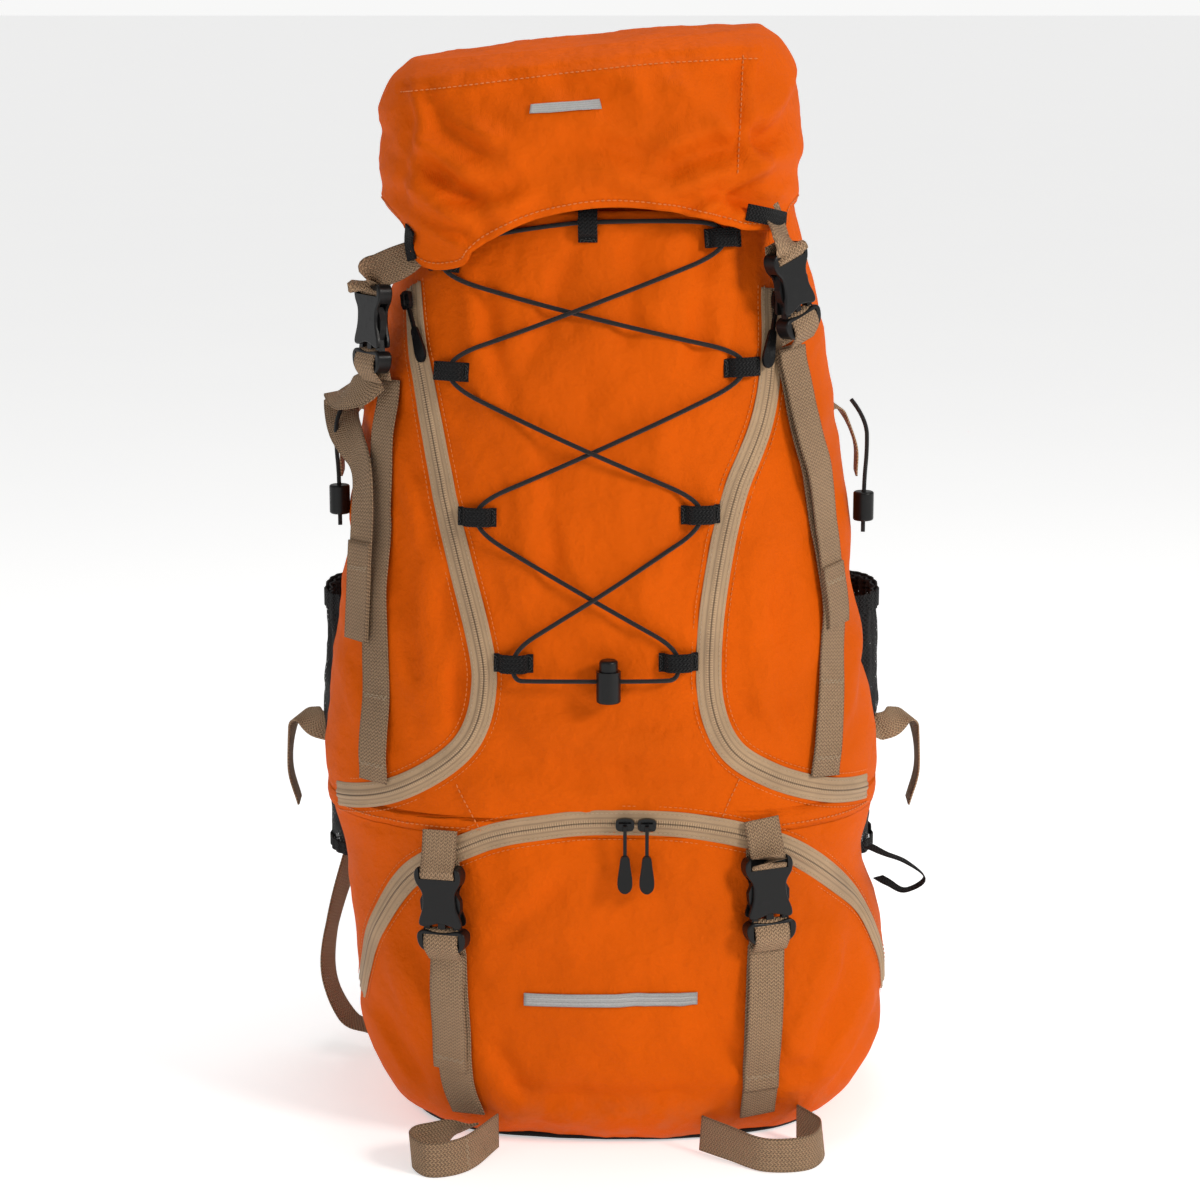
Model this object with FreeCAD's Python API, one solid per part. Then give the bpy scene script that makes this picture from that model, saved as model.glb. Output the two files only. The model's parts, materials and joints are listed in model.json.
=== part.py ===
"""Hiking backpack of about 65 litres, standing on its base.

Millimetres. +Z is up, the lacing side faces -Y, and a wearer's back would be on the +Y side.
The origin is on the underside of the base. LEFT and RIGHT are as seen from the lacing side.
Each piece is written to parts/NODE.step.
"""
import FreeCAD, Part
import math
import os
from FreeCAD import Matrix, Vector

os.makedirs("parts", exist_ok=True)

LEFT, RIGHT = -1, 1
SIDES = (("left", LEFT), ("right", RIGHT))

# ---------------------------------------------------------------- driving dimensions
BASE_THICKNESS = 4.0
LOWER_TOP = 228.0          # top of the lower compartment
MAIN_TOP = 640.0           # rim of the main compartment's panels
LID_UNDERSIDE = 668.0
LID_TOP = 744.0
FABRIC = 2.5               # stand-in wall of a stuffed fabric panel
GAP = 0.6                  # clearance between sewn layers
REAR_DEPTH = 108.0         # from the middle plane to the back panel
FRONT_POWER = 2.6          # roundness of the bag's front half in plan
CORE_POWER = 3.0
CORE_INSET = 1.2           # the sewn core lies a little inside the stuffed outline
LID_POWER = 3.0
REAR_POWER = 4.5           # the back half is squarer
OUTLINE_POINTS = 40

# Height, then a value there: hand-fitted profiles of the stuffed bag.
SWAY = ((0, 10), (60, 13), (120, 10), (180, 1), (300, -3), (500, -4), (620, -1))
LOWER_HALF_WIDTH = ((0, 142), (12, 158), (40, 177), (95, 188), (140, 187), (180, 181), (200, 182), (228, 192))
OUTER_HALF_WIDTH = ((205, 190), (228, 193), (290, 190), (360, 180), (430, 170), (500, 161), (570, 147), (640, 126))
CORE_HALF_WIDTH = ((205, 170), (228, 165), (290, 157), (360, 152), (430, 147), (500, 141), (570, 131), (640, 117))
FRONT_DEPTH = ((0, 98), (12, 113), (40, 128), (95, 138), (180, 139), (300, 140), (400, 137), (500, 131), (570, 124),
               (640, 116))
LID_SWAY = ((600, -5), (640, -9), (700, -12), (744, -13))
LID_HALF_WIDTH = ((600, 136), (640, 137), (680, 139), (715, 135), (735, 123), (744, 104))
LID_FRONT_DEPTH = ((600, 137), (640, 138), (680, 137), (715, 129), (735, 114), (744, 86))
LID_REAR_DEPTH = ((600, 110), (640, 110), (680, 112), (715, 108), (735, 97), (744, 74))
COLLAR_TOP = 662.0
COLLAR_SHRINK = 14.0

WEBBING = 25.0
WEBBING_THICK = 1.6
ZIP_WIDTH = 19.0
ZIP_THICK = 1.6
CORD = 3.0


# ---------------------------------------------------------------- small geometry helpers
def curve_value(points, at):
    """Smooth value at a height, through (height, value) pairs, flat past both ends."""
    if at <= points[0][0]:
        return float(points[0][1])
    if at >= points[-1][0]:
        return float(points[-1][1])
    last = len(points) - 1
    i = max(k for k in range(last) if points[k][0] <= at)
    (x0, y0), (x1, y1) = points[i], points[i + 1]
    rise = (y1 - y0) / (x1 - x0)
    before = rise if i == 0 else (y0 - points[i - 1][1]) / (x0 - points[i - 1][0])
    after = rise if i + 1 == last else (points[i + 2][1] - y1) / (points[i + 2][0] - x1)
    slope0 = 0.5 * (before + rise)
    slope1 = 0.5 * (rise + after)
    span = x1 - x0
    t = (at - x0) / span
    return (
        y0 * (2 * t**3 - 3 * t**2 + 1)
        + slope0 * span * (t**3 - 2 * t**2 + t)
        + y1 * (3 * t**2 - 2 * t**3)
        + slope1 * span * (t**3 - t**2)
    )


def signed_power(value, power):
    return math.copysign(abs(value) ** power, value)


def section(z, centre, half_width, front, rear, power):
    """Closed plan outline of the bag at one height: rounder in front, squarer behind."""
    points = []
    for k in range(OUTLINE_POINTS):
        angle = 2 * math.pi * (k + 0.5) / OUTLINE_POINTS
        n = power if math.sin(angle) < 0 else REAR_POWER
        depth = front if math.sin(angle) < 0 else rear
        x = centre + half_width * signed_power(math.cos(angle), 2 / n)
        y = depth * signed_power(math.sin(angle), 2 / n)
        points.append(Vector(x, y, z))
    curve = Part.BSplineCurve()
    curve.interpolate(Points=points, PeriodicFlag=True)
    return Part.Wire([curve.toShape()])


def bag_loft(heights, width_table, power, inset=0.0):
    """Solid of the bag between the first and last height, shrunk by inset all round."""
    wires = []
    for z in heights:
        wires.append(
            section(
                z,
                curve_value(SWAY, z),
                curve_value(width_table, z) - inset,
                curve_value(FRONT_DEPTH, z) - inset,
                REAR_DEPTH - inset,
                power,
            )
        )
    return Part.makeLoft(wires, True, False)


def lid_loft(heights, inset=0.0):
    wires = []
    for z in heights:
        wires.append(
            section(
                z,
                curve_value(LID_SWAY, z),
                curve_value(LID_HALF_WIDTH, z) - inset,
                curve_value(LID_FRONT_DEPTH, z) - inset,
                curve_value(LID_REAR_DEPTH, z) - inset,
                LID_POWER,
            )
        )
    return Part.makeLoft(wires, True, False)


def box(x0, y0, z0, x1, y1, z1):
    return Part.makeBox(x1 - x0, y1 - y0, z1 - z0, Vector(x0, y0, z0))


def front_prism(outline, y0, y1):
    """Prism between two depths over an (x, z) outline seen from the front."""
    points = [Vector(x, y0, z) for x, z in outline]
    face = Part.Face(Part.makePolygon(points + points[:1]))
    return face.extrude(Vector(0, y1 - y0, 0))


def smooth_path(points, count):
    """Evenly numbered samples of a smooth curve through 2-D or 3-D points."""
    padded = [Vector(*p) if len(p) == 3 else Vector(p[0], 0, p[1]) for p in points]
    curve = Part.BSplineCurve()
    curve.interpolate(Points=padded)
    length = curve.length()
    step = length / (count - 1)
    return [curve.value(curve.parameterAtDistance(min(k * step, length * 0.99999))) for k in range(count)]


def outside_amount(x, y, z):
    """Zero on the stuffed bag's front surface, and more outside it."""
    table = LOWER_HALF_WIDTH if z < LOWER_TOP else OUTER_HALF_WIDTH
    reach = abs(x - curve_value(SWAY, z)) / curve_value(table, z)
    return reach**FRONT_POWER + (abs(y) / curve_value(FRONT_DEPTH, z)) ** FRONT_POWER - 1


def outer_surface(x, z):
    """Point of the stuffed bag's front at (x, z), and the outward normal there."""
    table = LOWER_HALF_WIDTH if z < LOWER_TOP else OUTER_HALF_WIDTH
    half = curve_value(table, z)
    reach = (x - curve_value(SWAY, z)) / half
    reach = max(-0.985, min(0.985, reach))
    x = curve_value(SWAY, z) + reach * half
    y = -curve_value(FRONT_DEPTH, z) * (1 - abs(reach) ** FRONT_POWER) ** (1 / FRONT_POWER)
    step = 0.5
    below, above = (z - step, z + step) if z < LOWER_TOP - step or z >= LOWER_TOP + step else (z, z)
    normal = Vector(
        outside_amount(x + step, y, z) - outside_amount(x - step, y, z),
        outside_amount(x, y + step, z) - outside_amount(x, y - step, z),
        outside_amount(x, y, above) - outside_amount(x, y, below),
    )
    return Vector(x, y, z), normal.normalize()


def on_surface(path, count, lift):
    """Points lifted off the bag's front along an (x, z) path, with their normals."""
    places = []
    normals = []
    for p in smooth_path(path, count):
        point, normal = outer_surface(p.x, p.z)
        places.append(point + normal * lift)
        normals.append(normal)
    return places, normals


def strip(places, normals, width, thick):
    """Flat band along the places; its underside is on them and its outer face is thick above."""
    wires = []
    last = len(places) - 1
    for k, (place, normal) in enumerate(zip(places, normals)):
        along = places[min(k + 1, last)] - places[max(k - 1, 0)]
        side = along.cross(normal).normalize() * (width / 2)
        up = side.cross(along).normalize()
        if up.dot(normal) < 0:
            up = up * -1
        up = up * thick
        corners = [place - side, place + side, place + side + up, place - side + up]
        wires.append(Part.makePolygon(corners + corners[:1]))
    return Part.makeLoft(wires, True, True)


def surface_strip(path, count, lift, width, thick):
    places, normals = on_surface(path, count, lift)
    return strip(places, normals, width, thick)


def turning(directions, count):
    """Unit directions that turn evenly through the listed ones."""
    looks = []
    for k in range(count):
        t = k * (len(directions) - 1) / (count - 1)
        i = min(int(t), len(directions) - 2)
        look = Vector(*directions[i]) * (1 - t + i) + Vector(*directions[i + 1]) * (t - i)
        looks.append(look.normalize())
    return looks


def free_strip(points, facing, count, width, thick):
    """Band along a smooth 3-D path whose outer face looks towards the facing directions."""
    return strip(smooth_path(points, count), turning(facing, count), width, thick)


def rope(points, diameter):
    """Round cord of straight runs joined by tangent arcs, and the smallest arc's radius."""
    corners = [Vector(*p) for p in points]
    edges = []
    start = corners[0]
    radii = []
    for before, corner, after in zip(corners, corners[1:], corners[2:]):
        back = (before - corner).normalize()
        ahead = (after - corner).normalize()
        turn = math.pi - back.getAngle(ahead)
        reach = 0.45 * min((before - corner).Length, (after - corner).Length)
        radius = reach / math.tan(turn / 2)
        radii.append(radius)
        enter = corner + back * reach
        leave = corner + ahead * reach
        inward = (back + ahead).normalize()
        middle = corner + inward * (radius / math.cos(turn / 2) - radius)
        edges.append(Part.LineSegment(start, enter).toShape())
        edges.append(Part.Arc(enter, middle, leave).toShape())
        start = leave
    edges.append(Part.LineSegment(start, corners[-1]).toShape())
    spine = Part.Wire(edges)
    heading = (corners[1] - corners[0]).normalize()
    ring = Part.Wire([Part.makeCircle(diameter / 2, corners[0], heading)])
    solid = spine.makePipeShell([ring], True, False)
    expected = math.pi * diameter**2 / 4 * spine.Length
    print("cord radii", [round(r, 1) for r in radii], "volume ratio", round(solid.Volume / expected, 4))
    return solid


def place_on(shape, origin, across, up):
    """Put a shape modelled with X across, Z up and -Y outwards onto the bag."""
    inward = up.cross(across).normalize()
    turn = Matrix(
        across.x, inward.x, up.x, origin.x,
        across.y, inward.y, up.y, origin.y,
        across.z, inward.z, up.z, origin.z,
        0, 0, 0, 1,
    )
    placed = shape.copy()
    placed.Placement = FreeCAD.Placement(turn)
    return placed


def plate(outline, inner, outer):
    """Smooth-edged plate over an (across, up) outline, from inner to outer height off the bag."""
    points = [Vector(x, -inner, z) for x, z in outline]
    curve = Part.BSplineCurve()
    curve.interpolate(Points=points, PeriodicFlag=True)
    face = Part.Face(Part.Wire([curve.toShape()]))
    return face.extrude(Vector(0, inner - outer, 0))


def mirrored(half_outline):
    """Closed outline from the right-hand half, listed from the bottom up."""
    return half_outline + [(-x, z) for x, z in reversed(half_outline)]


def soften(shape, radius, keep):
    """Round the edges for which keep(edge) is true."""
    return shape.makeFillet(radius, [edge for edge in shape.Edges if keep(edge)])


# ---------------------------------------------------------------- side-release buckle for 25 mm webbing
BUCKLE_THICK = 11.0
SOCKET_MOUTH = 16.0        # the socket half starts this far above the prong half's lower edge
SOCKET_HEAD = 46.0
SOCKET_BAR = 54.0          # where the stub webbing wraps
SLOT_HALF = 13.2
LADDER_BAR = 8.0           # where the adjustable webbing wraps


def buckle_socket():
    """Upper half: two plates joined at the head, ears and a bar for the stub webbing."""
    outline = mirrored([(9, 17.6), (15.2, 18.4), (14.8, 23), (12.6, 29), (11.6, 36), (12.4, 42), (15.6, 47),
                        (16.8, 51), (16.2, 56), (14.2, 58.2), (8, 57.6)])
    body = plate(outline, 0.4, BUCKLE_THICK - 0.4)
    body = soften(body, 1.0, lambda e: e.Length > 60)
    cavity = box(-25, -8.2, SOCKET_MOUTH - 3, 25, -2.8, SOCKET_HEAD)
    slot = box(-SLOT_HALF, -20, 50.5, SLOT_HALF, 5, 53.2)
    recess = box(-SLOT_HALF, -20, 53.2, SLOT_HALF, -8.0, 60)
    return body.cut(cavity).cut(slot).cut(recess)


def buckle_prongs():
    """Lower half: a frame with a ladder bar, two sprung arms and a guide tongue."""
    outline = mirrored([(7, 0.2), (13.4, 0.8), (16.4, 4), (17.6, 8.6), (17.0, 12.4), (15.4, 14.0), (7, 14.2)])
    frame = plate(outline, 0.2, BUCKLE_THICK - 0.2)
    frame = soften(frame, 1.2, lambda e: e.Length > 60)
    frame = frame.cut(box(-SLOT_HALF, -20, 3.2, SLOT_HALF, 5, 12.4))
    bar = Part.makeCylinder(1.7, 2 * SLOT_HALF + 2, Vector(-SLOT_HALF - 1, -5.5, LADDER_BAR), Vector(1, 0, 0))
    arm = [(8.6, 12.9), (13.6, 12.9), (12.2, 22), (14.4, 29), (14.6, 35), (10.4, 43.4), (8.4, 43.4), (9.6, 34)]
    arms = []
    for side in (LEFT, RIGHT):
        arms.append(front_prism([(side * x, z) for x, z in arm], -7.8, -3.2))
    tongue = box(-2.6, -7.8, 12.9, 2.6, -3.2, 41)
    shape = frame.fuse([bar, tongue] + arms)
    return shape.removeSplitter()


def buckle_frame(x, z, lean, lift, tilt):
    """Origin, across and up directions of a buckle; lean is sideways per unit of rise, tilt is degrees outwards."""
    point, normal = outer_surface(x, z)
    above, _ = outer_surface(x + 40 * lean, z + 40)
    rise = (above - point).normalize()
    across = rise.cross(normal).normalize()
    outward = across.cross(rise).normalize()
    turn = math.radians(tilt)
    up = rise * math.cos(turn) + outward * math.sin(turn)
    return point + outward * lift, across, up


# Buckle places: (x, z) of the prong half's lower edge, and sideways lean per unit of rise.
UPPER_BUCKLES = {"left": (-141.0, 530.0, 0.18), "right": (117.0, 558.0, -0.36)}
LOWER_BUCKLES = {"left": (-104.0, 149.0, -0.05), "right": (107.0, 155.5, -0.048)}
UPPER_LIFT, UPPER_TILT = 10.0, 10.0   # the lid holds the upper buckles off the bag, tops leaning out
LOWER_LIFT, LOWER_TILT = 4.5, 0.0
STUB_START = 61.5          # stub webbing ends this far above the prong half's lower edge

# ---------------------------------------------------------------- the bag
lower_heights = (BASE_THICKNESS, 12, 25, 45, 70, 95, 130, 160, 185, 205, LOWER_TOP)
main_heights = (LOWER_TOP + GAP, 245, 270, 300, 350, 400, 450, 500, 550, 600, MAIN_TOP)
shell_heights = (205, 228, 245, 270, 300, 350, 400, 450, 500, 550, 600, 660)

nodes = {}

base_wire = section(0, curve_value(SWAY, 0), 140, 96, 100, FRONT_POWER)
nodes["base_panel"] = Part.Face(base_wire).extrude(Vector(0, 0, BASE_THICKNESS - GAP / 2))
nodes["lower_bag"] = bag_loft(lower_heights, LOWER_HALF_WIDTH, FRONT_POWER)

core = bag_loft(main_heights, CORE_HALF_WIDTH, CORE_POWER, CORE_INSET)
core_inside = bag_loft(shell_heights, CORE_HALF_WIDTH, CORE_POWER, CORE_INSET + FABRIC)
main_shell = core.cut(core_inside)
PANEL_EDGE = 84.0          # half width of the front and back panels
FAR = 400.0
nodes["main_front"] = main_shell.common(box(-PANEL_EDGE, -FAR, 0, PANEL_EDGE, 0, FAR * 2))
nodes["main_back"] = main_shell.common(box(-PANEL_EDGE, 0, 0, PANEL_EDGE, FAR, FAR * 2))
nodes["main_side_left"] = main_shell.common(box(-FAR, -FAR, 0, -PANEL_EDGE, FAR, FAR * 2))
nodes["main_side_right"] = main_shell.common(box(PANEL_EDGE, -FAR, 0, FAR, FAR, FAR * 2))


def collar_loft(inset, bottom, top):
    wires = []
    for z in (bottom, (bottom + top) / 2, top):
        closing = COLLAR_SHRINK * (z - MAIN_TOP) / (COLLAR_TOP - MAIN_TOP)
        shrink = max(closing, 0) + inset
        wires.append(
            section(
                z,
                curve_value(SWAY, z),
                curve_value(CORE_HALF_WIDTH, z) - shrink,
                curve_value(FRONT_DEPTH, z) - shrink,
                REAR_DEPTH - shrink,
                CORE_POWER,
            )
        )
    return Part.makeLoft(wires, True, False)


collar_skin = collar_loft(CORE_INSET, MAIN_TOP + 0.1, COLLAR_TOP)
nodes["collar"] = collar_skin.cut(collar_loft(CORE_INSET + 1.6, MAIN_TOP - 1, COLLAR_TOP + 1))

# ---------------------------------------------------------------- front pockets and their zips
ZIP_PATH = {
    "left": ((-127, 588), (-124, 551), (-118, 522), (-103, 444), (-83, 362), (-80, 328), (-88, 298), (-107, 276),
             (-142, 254), (-184, 239)),
    "right": ((109, 588), (109, 545), (103, 503), (85, 457), (75, 412), (69, 365), (70, 320), (83, 288), (110, 268),
              (146, 253), (180, 244)),
}
POCKET_TOP = 588.0
POCKET_BOTTOM = LOWER_TOP + GAP
POCKET_REAR = -10.0

outer = bag_loft(shell_heights, OUTER_HALF_WIDTH, FRONT_POWER)
core_clear = bag_loft(shell_heights, CORE_HALF_WIDTH, CORE_POWER, CORE_INSET - GAP)
pocket_stock = outer.cut(core_clear).common(box(-FAR, -FAR, POCKET_BOTTOM, FAR, POCKET_REAR, POCKET_TOP))
for name, side in SIDES:
    edge = [(p.x, p.z) for p in smooth_path(ZIP_PATH[name], 24)]
    region = edge + [(side * 260, edge[-1][1] - 6), (side * 260, POCKET_TOP + 20), (edge[0][0], POCKET_TOP + 20)]
    pocket = pocket_stock.common(front_prism(region, -FAR, 0))
    solids = sorted(pocket.Solids, key=lambda s: s.Volume)
    nodes["pocket_" + name] = solids[-1]
    nodes["pocket_zip_" + name] = surface_strip(ZIP_PATH[name], 44, 0.5, ZIP_WIDTH, ZIP_THICK)

# ---------------------------------------------------------------- arched zip of the lower compartment
ARCH_PATH = ((-171, 92), (-167, 115), (-157, 151), (-130, 196), (-83, 225), (-43, 235), (0, 239), (63, 235),
             (122, 215), (169, 171), (190, 130), (197, 97))
nodes["lower_zip"] = surface_strip(ARCH_PATH, 52, 0.5, ZIP_WIDTH, ZIP_THICK)

# ---------------------------------------------------------------- mesh bottle pockets
MESH_BOTTOM = 172.0
MESH_TOP = 362.0
MESH_WALL = 1.6
MESH_CENTRE = (150.0, 52.0)
MESH_HALF = (45.0, 50.0)


def mesh_loft(side, inset, bottom, top):
    wires = []
    for k in range(5):
        z = bottom + (top - bottom) * k / 4
        bulge = 3.0 * math.sin(math.pi * (z - MESH_BOTTOM) / (MESH_TOP - MESH_BOTTOM))
        points = []
        for j in range(24):
            angle = 2 * math.pi * (j + 0.5) / 24
            points.append(
                Vector(
                    curve_value(SWAY, 260) + side * MESH_CENTRE[0]
                    + (MESH_HALF[0] + bulge - inset) * signed_power(math.cos(angle), 0.7),
                    MESH_CENTRE[1] + (MESH_HALF[1] - inset) * signed_power(math.sin(angle), 0.7),
                    z,
                )
            )
        curve = Part.BSplineCurve()
        curve.interpolate(Points=points, PeriodicFlag=True)
        wires.append(Part.Wire([curve.toShape()]))
    return Part.makeLoft(wires, True, False)


lower_clear = bag_loft((150, 160, 172, 185, 195, 205, 216, 230), LOWER_HALF_WIDTH, FRONT_POWER, -GAP)
for name, side in SIDES:
    shell = mesh_loft(side, 0, MESH_BOTTOM, MESH_TOP).cut(
        mesh_loft(side, MESH_WALL, MESH_BOTTOM + MESH_WALL, MESH_TOP + 10)
    )
    shell = shell.cut(core_clear).cut(lower_clear).cut(nodes["pocket_" + name])
    nodes["mesh_pocket_" + name] = max(shell.Solids, key=lambda s: s.Volume)

# ---------------------------------------------------------------- back system
nodes["frame_sheet"] = box(-84, 98.3, 232, 80, 99.8, 600)
stays = [box(side * 52 - 10, 94.6, 234, side * 52 + 10, 97.8, 596) for side in (LEFT, RIGHT)]
nodes["stays"] = Part.makeCompound(stays)


def pad(x0, x1, front, z0, z1, thick):
    block = box(x0, front, z0, x1, front + thick, z1)
    block = soften(block, 9.0, lambda e: abs(e.tangentAt(e.FirstParameter).y) > 0.9)
    return soften(block, 4.0, lambda e: e.CenterOfMass.y > front + thick - 0.1)


BACK_PAD_FRONT = REAR_DEPTH - CORE_INSET + 0.4
nodes["back_pads"] = Part.makeCompound([
    pad(-88, -14, BACK_PAD_FRONT, 236, 520, 14),
    pad(14, 88, BACK_PAD_FRONT, 236, 520, 14),
    pad(-70, 70, REAR_DEPTH + 0.4, 112, 220, 18),
])

STRAP_WIDTH = 62.0
for name, side in SIDES:
    route = ((side * 50, 119, 540), (side * 52, 132, 560), (side * 58, 152, 560), (side * 68, 164, 522),
             (side * 82, 166, 440), (side * 94, 165, 340), (side * 100, 160, 238))
    faces = ((0, -0.5, 1), (0, -0.1, 1), (0, 0.6, 0.8), (0, 1, 0.2), (0, 1, 0), (0, 1, 0), (0, 1, 0))
    nodes["shoulder_strap_" + name] = free_strip(route, faces, 26, STRAP_WIDTH, 11.0)

adjusters = []
adjuster_routes = {
    "left": ((-100, 166, 223), (-128, 164, 212), (-168, 140, 186), (-196, 112, 120), (-207, 92, 62), (-192, 78, 26),
             (-170, 66, 22)),
    "right": ((100, 166, 223), (128, 164, 212), (165, 140, 186), (188, 112, 130), (196, 92, 80), (193, 82, 46),
              (186, 74, 32)),
}
for name, side in SIDES:
    faces = ((0, 1, 0.1), (side * 0.2, 1, 0.2), (side * 0.6, 0.8, 0.2), (side * 0.9, 0.5, 0.1), (side, 0.3, 0),
             (side, 0.3, -0.5), (side * 0.4, 0.3, -1))
    adjusters.append(free_strip(adjuster_routes[name], faces, 22, WEBBING * 0.8, WEBBING_THICK))
nodes["shoulder_webbing"] = Part.makeCompound(adjusters)

top_webbing = []
for name, side in SIDES:
    route = ((side * 52, 112, 608), (side * 56, 128, 603), (side * 64, 160, 584), (side * 68, 179, 556))
    top_webbing.append(free_strip(route, ((0, 0.4, 1), (0, 0.5, 1), (0, 0.7, 0.8), (0, 1, 0.6)), 10, 20, WEBBING_THICK))
haul = ((-34, 116, 578), (-30, 119, 590), (-16, 134, 600), (0, 138, 602), (16, 134, 600), (30, 119, 590),
        (34, 116, 578))
haul_faces = ((-0.4, 0, 1), (-0.4, 0, 1), (-0.1, 0, 1), (0, 0, 1), (0.1, 0, 1), (0.4, 0, 1), (0.4, 0, 1))
top_webbing.append(free_strip(haul, haul_faces, 20, 18, WEBBING_THICK))
nodes["top_webbing"] = Part.makeCompound(top_webbing)

# sternum strap: webbing between the shoulder straps with its buckle in the middle
STERNUM_Z = 400.0
STERNUM_Y = 178.8
sternum = [box(side * 55 - 33, STERNUM_Y, STERNUM_Z - 10, side * 55 + 33, STERNUM_Y + 1.6, STERNUM_Z + 10)
           for side in (LEFT, RIGHT)]
nodes["sternum_strap"] = Part.makeCompound(sternum)
clasp = box(-21.5, STERNUM_Y - 2, STERNUM_Z - 13, 21.5, STERNUM_Y + 6, STERNUM_Z + 13)
nodes["sternum_buckle"] = soften(clasp, 2.5, lambda e: e.Length > 5)

# hip belt wings, folded flat beside the lumbar pad
WING_ROOT = 80.0
WING_Y = 112.0
WING_THICK = 13.0
for name, side in SIDES:
    outline = [(side * x, z) for x, z in ((WING_ROOT, 124), (WING_ROOT, 206), (110, 200), (150, 186), (163, 176), (163, 150),
                                          (150, 138), (110, 127))]
    wing = front_prism(outline, WING_Y, WING_Y + WING_THICK)
    nodes["hip_wing_" + name] = soften(wing, 3.5, lambda e: e.CenterOfMass.y > WING_Y + WING_THICK - 0.1)
    clip_x = side * 124
    clip_y = WING_Y + WING_THICK + 0.4
    frame = box(clip_x - 22, clip_y, 148, clip_x + 22, clip_y + 9, 180)
    frame = soften(frame, 3.0, lambda e: e.CenterOfMass.y > clip_y + 8.9)
    slot_x = clip_x + side * 14
    nodes["hip_clip_" + name] = frame.cut(box(slot_x - 2, 0, 152, slot_x + 2, FAR, 176))

# ---------------------------------------------------------------- lacing
LOOPS = {
    "left": ((-104, 605), (-100, 536), (-83, 443), (-60, 347)),
    "right": ((76, 622), (89, 539), (62, 445), (48, 348)),
}
TOP_LOOP = (-11, 633)
LOOP_WIDTH, LOOP_HEIGHT = 17.0, 13.0
LOOP_INSIDE = (1.9, 6.0)   # near and far walls of the tunnel, above the bag's surface
LOOP_THICK = 1.1
TURN = 9.0                 # the cord turns this far above and below a loop's middle
CORD_AT_LOOP = 3.9         # heights of the cord's axis above the bag's surface
CORD_ON_BAG = 4.8
CROSSING_RISE = (0.6, 4.4)  # the second strand passes over the first
LOCK_LIFT = 10.0


def lace_loop(x, z, sideways=False):
    """Flat tunnel of narrow webbing through which the cord passes down, or across when sideways."""
    point, normal = outer_surface(x, z)
    across = Vector(0, 0, 1).cross(normal).normalize()
    up = normal.cross(across).normalize()
    near, far = LOOP_INSIDE
    half = LOOP_WIDTH / 2
    wall = box(-half, -far - LOOP_THICK, -LOOP_HEIGHT / 2, half, -near + LOOP_THICK, LOOP_HEIGHT / 2)
    tunnel = box(-half + LOOP_THICK, -far, -LOOP_HEIGHT, half - LOOP_THICK, -near, LOOP_HEIGHT)
    if sideways:
        across, up = up, across * -1
    return place_on(wall.cut(tunnel), point, across, up)


row_loops = [lace_loop(x, z) for x, z in LOOPS["left"] + LOOPS["right"]]
nodes["lace_loops"] = Part.makeCompound(row_loops + [lace_loop(*TOP_LOOP, sideways=True)])


def cord_point(x, z, lift):
    point, normal = outer_surface(x, z)
    return point + normal * lift


def lace_strand(first_side, rise):
    """Points of one strand, going down from side to side through a loop of each row."""
    points = []
    sides = (first_side, "left" if first_side == "right" else "right")
    for row in range(4):
        x, z = LOOPS[sides[row % 2]][row]
        points.append(cord_point(x, z + TURN, CORD_AT_LOOP))
        points.append(cord_point(x, z - (TURN if row < 3 else TURN + 2), CORD_AT_LOOP))
        if row == 3:
            break
        next_x, next_z = LOOPS[sides[(row + 1) % 2]][row + 1]
        start = (x, z - TURN)
        end = (next_x, next_z + TURN)
        for t in (0.17, 0.34, 0.5, 0.66, 0.83):
            lift = CORD_ON_BAG + (rise if t == 0.5 else 0)
            points.append(cord_point(start[0] + t * (end[0] - start[0]), start[1] + t * (end[1] - start[1]), lift))
    return points


strand_down = lace_strand("left", CROSSING_RISE[0])
strand_up = list(reversed(lace_strand("right", CROSSING_RISE[1])))
LOCK_Z = LOOPS["right"][3][1] - TURN - 2
lock_right = cord_point(LOOPS["right"][3][0] - 13, LOCK_Z, LOCK_LIFT)
lock_left = cord_point(LOOPS["left"][3][0] + 13, LOCK_Z, LOCK_LIFT)
cord_start = [cord_point(TOP_LOOP[0] - 3, TOP_LOOP[1], CORD_AT_LOOP), cord_point(-55, 628, CORD_ON_BAG)]
cord_end = [cord_point(35, 634, CORD_ON_BAG), cord_point(TOP_LOOP[0] + 3, TOP_LOOP[1], CORD_AT_LOOP)]
lace_route = cord_start + strand_down + [lock_right, lock_left] + strand_up + cord_end
nodes["lacing_cord"] = rope(lace_route, CORD)
print("lacing route", [tuple(round(c, 1) for c in p) for p in lace_route])

# cord lock on the lowest run
LOCK_RADIUS = 8.0
LOCK_HEIGHT = 21.0
LOCK_SHARE = 0.4           # how far along the run from the right it sits
lock_centre = lock_right * (1 - LOCK_SHARE) + lock_left * LOCK_SHARE
lock_axis = (lock_left - lock_right).normalize() * -1
print("cord lock axis", [round(c, 5) for c in lock_axis], "run", round((lock_left - lock_right).Length, 1))
lock_bottom = lock_centre + Vector(0, 0, -14)
barrel = Part.makeCylinder(LOCK_RADIUS, LOCK_HEIGHT, lock_bottom)
barrel = soften(barrel, 1.5, lambda e: abs(e.CenterOfMass.z - lock_bottom.z) < 0.1 and e.Length > 30)
bore = Part.makeCylinder(CORD / 2 + 0.9, 60, lock_centre - lock_axis * 30, lock_axis)
socket = Part.makeCylinder(6.4, 8.0, lock_centre + Vector(0, 0, 2.6))
nodes["cord_lock_barrel"] = barrel.cut(bore).cut(socket)
cap = Part.makeCylinder(6.1, 8.4, lock_centre + Vector(0, 0, 6.2))
nodes["cord_lock_button"] = soften(cap, 2.0, lambda e: e.CenterOfMass.z > lock_centre.z + 14)

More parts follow.
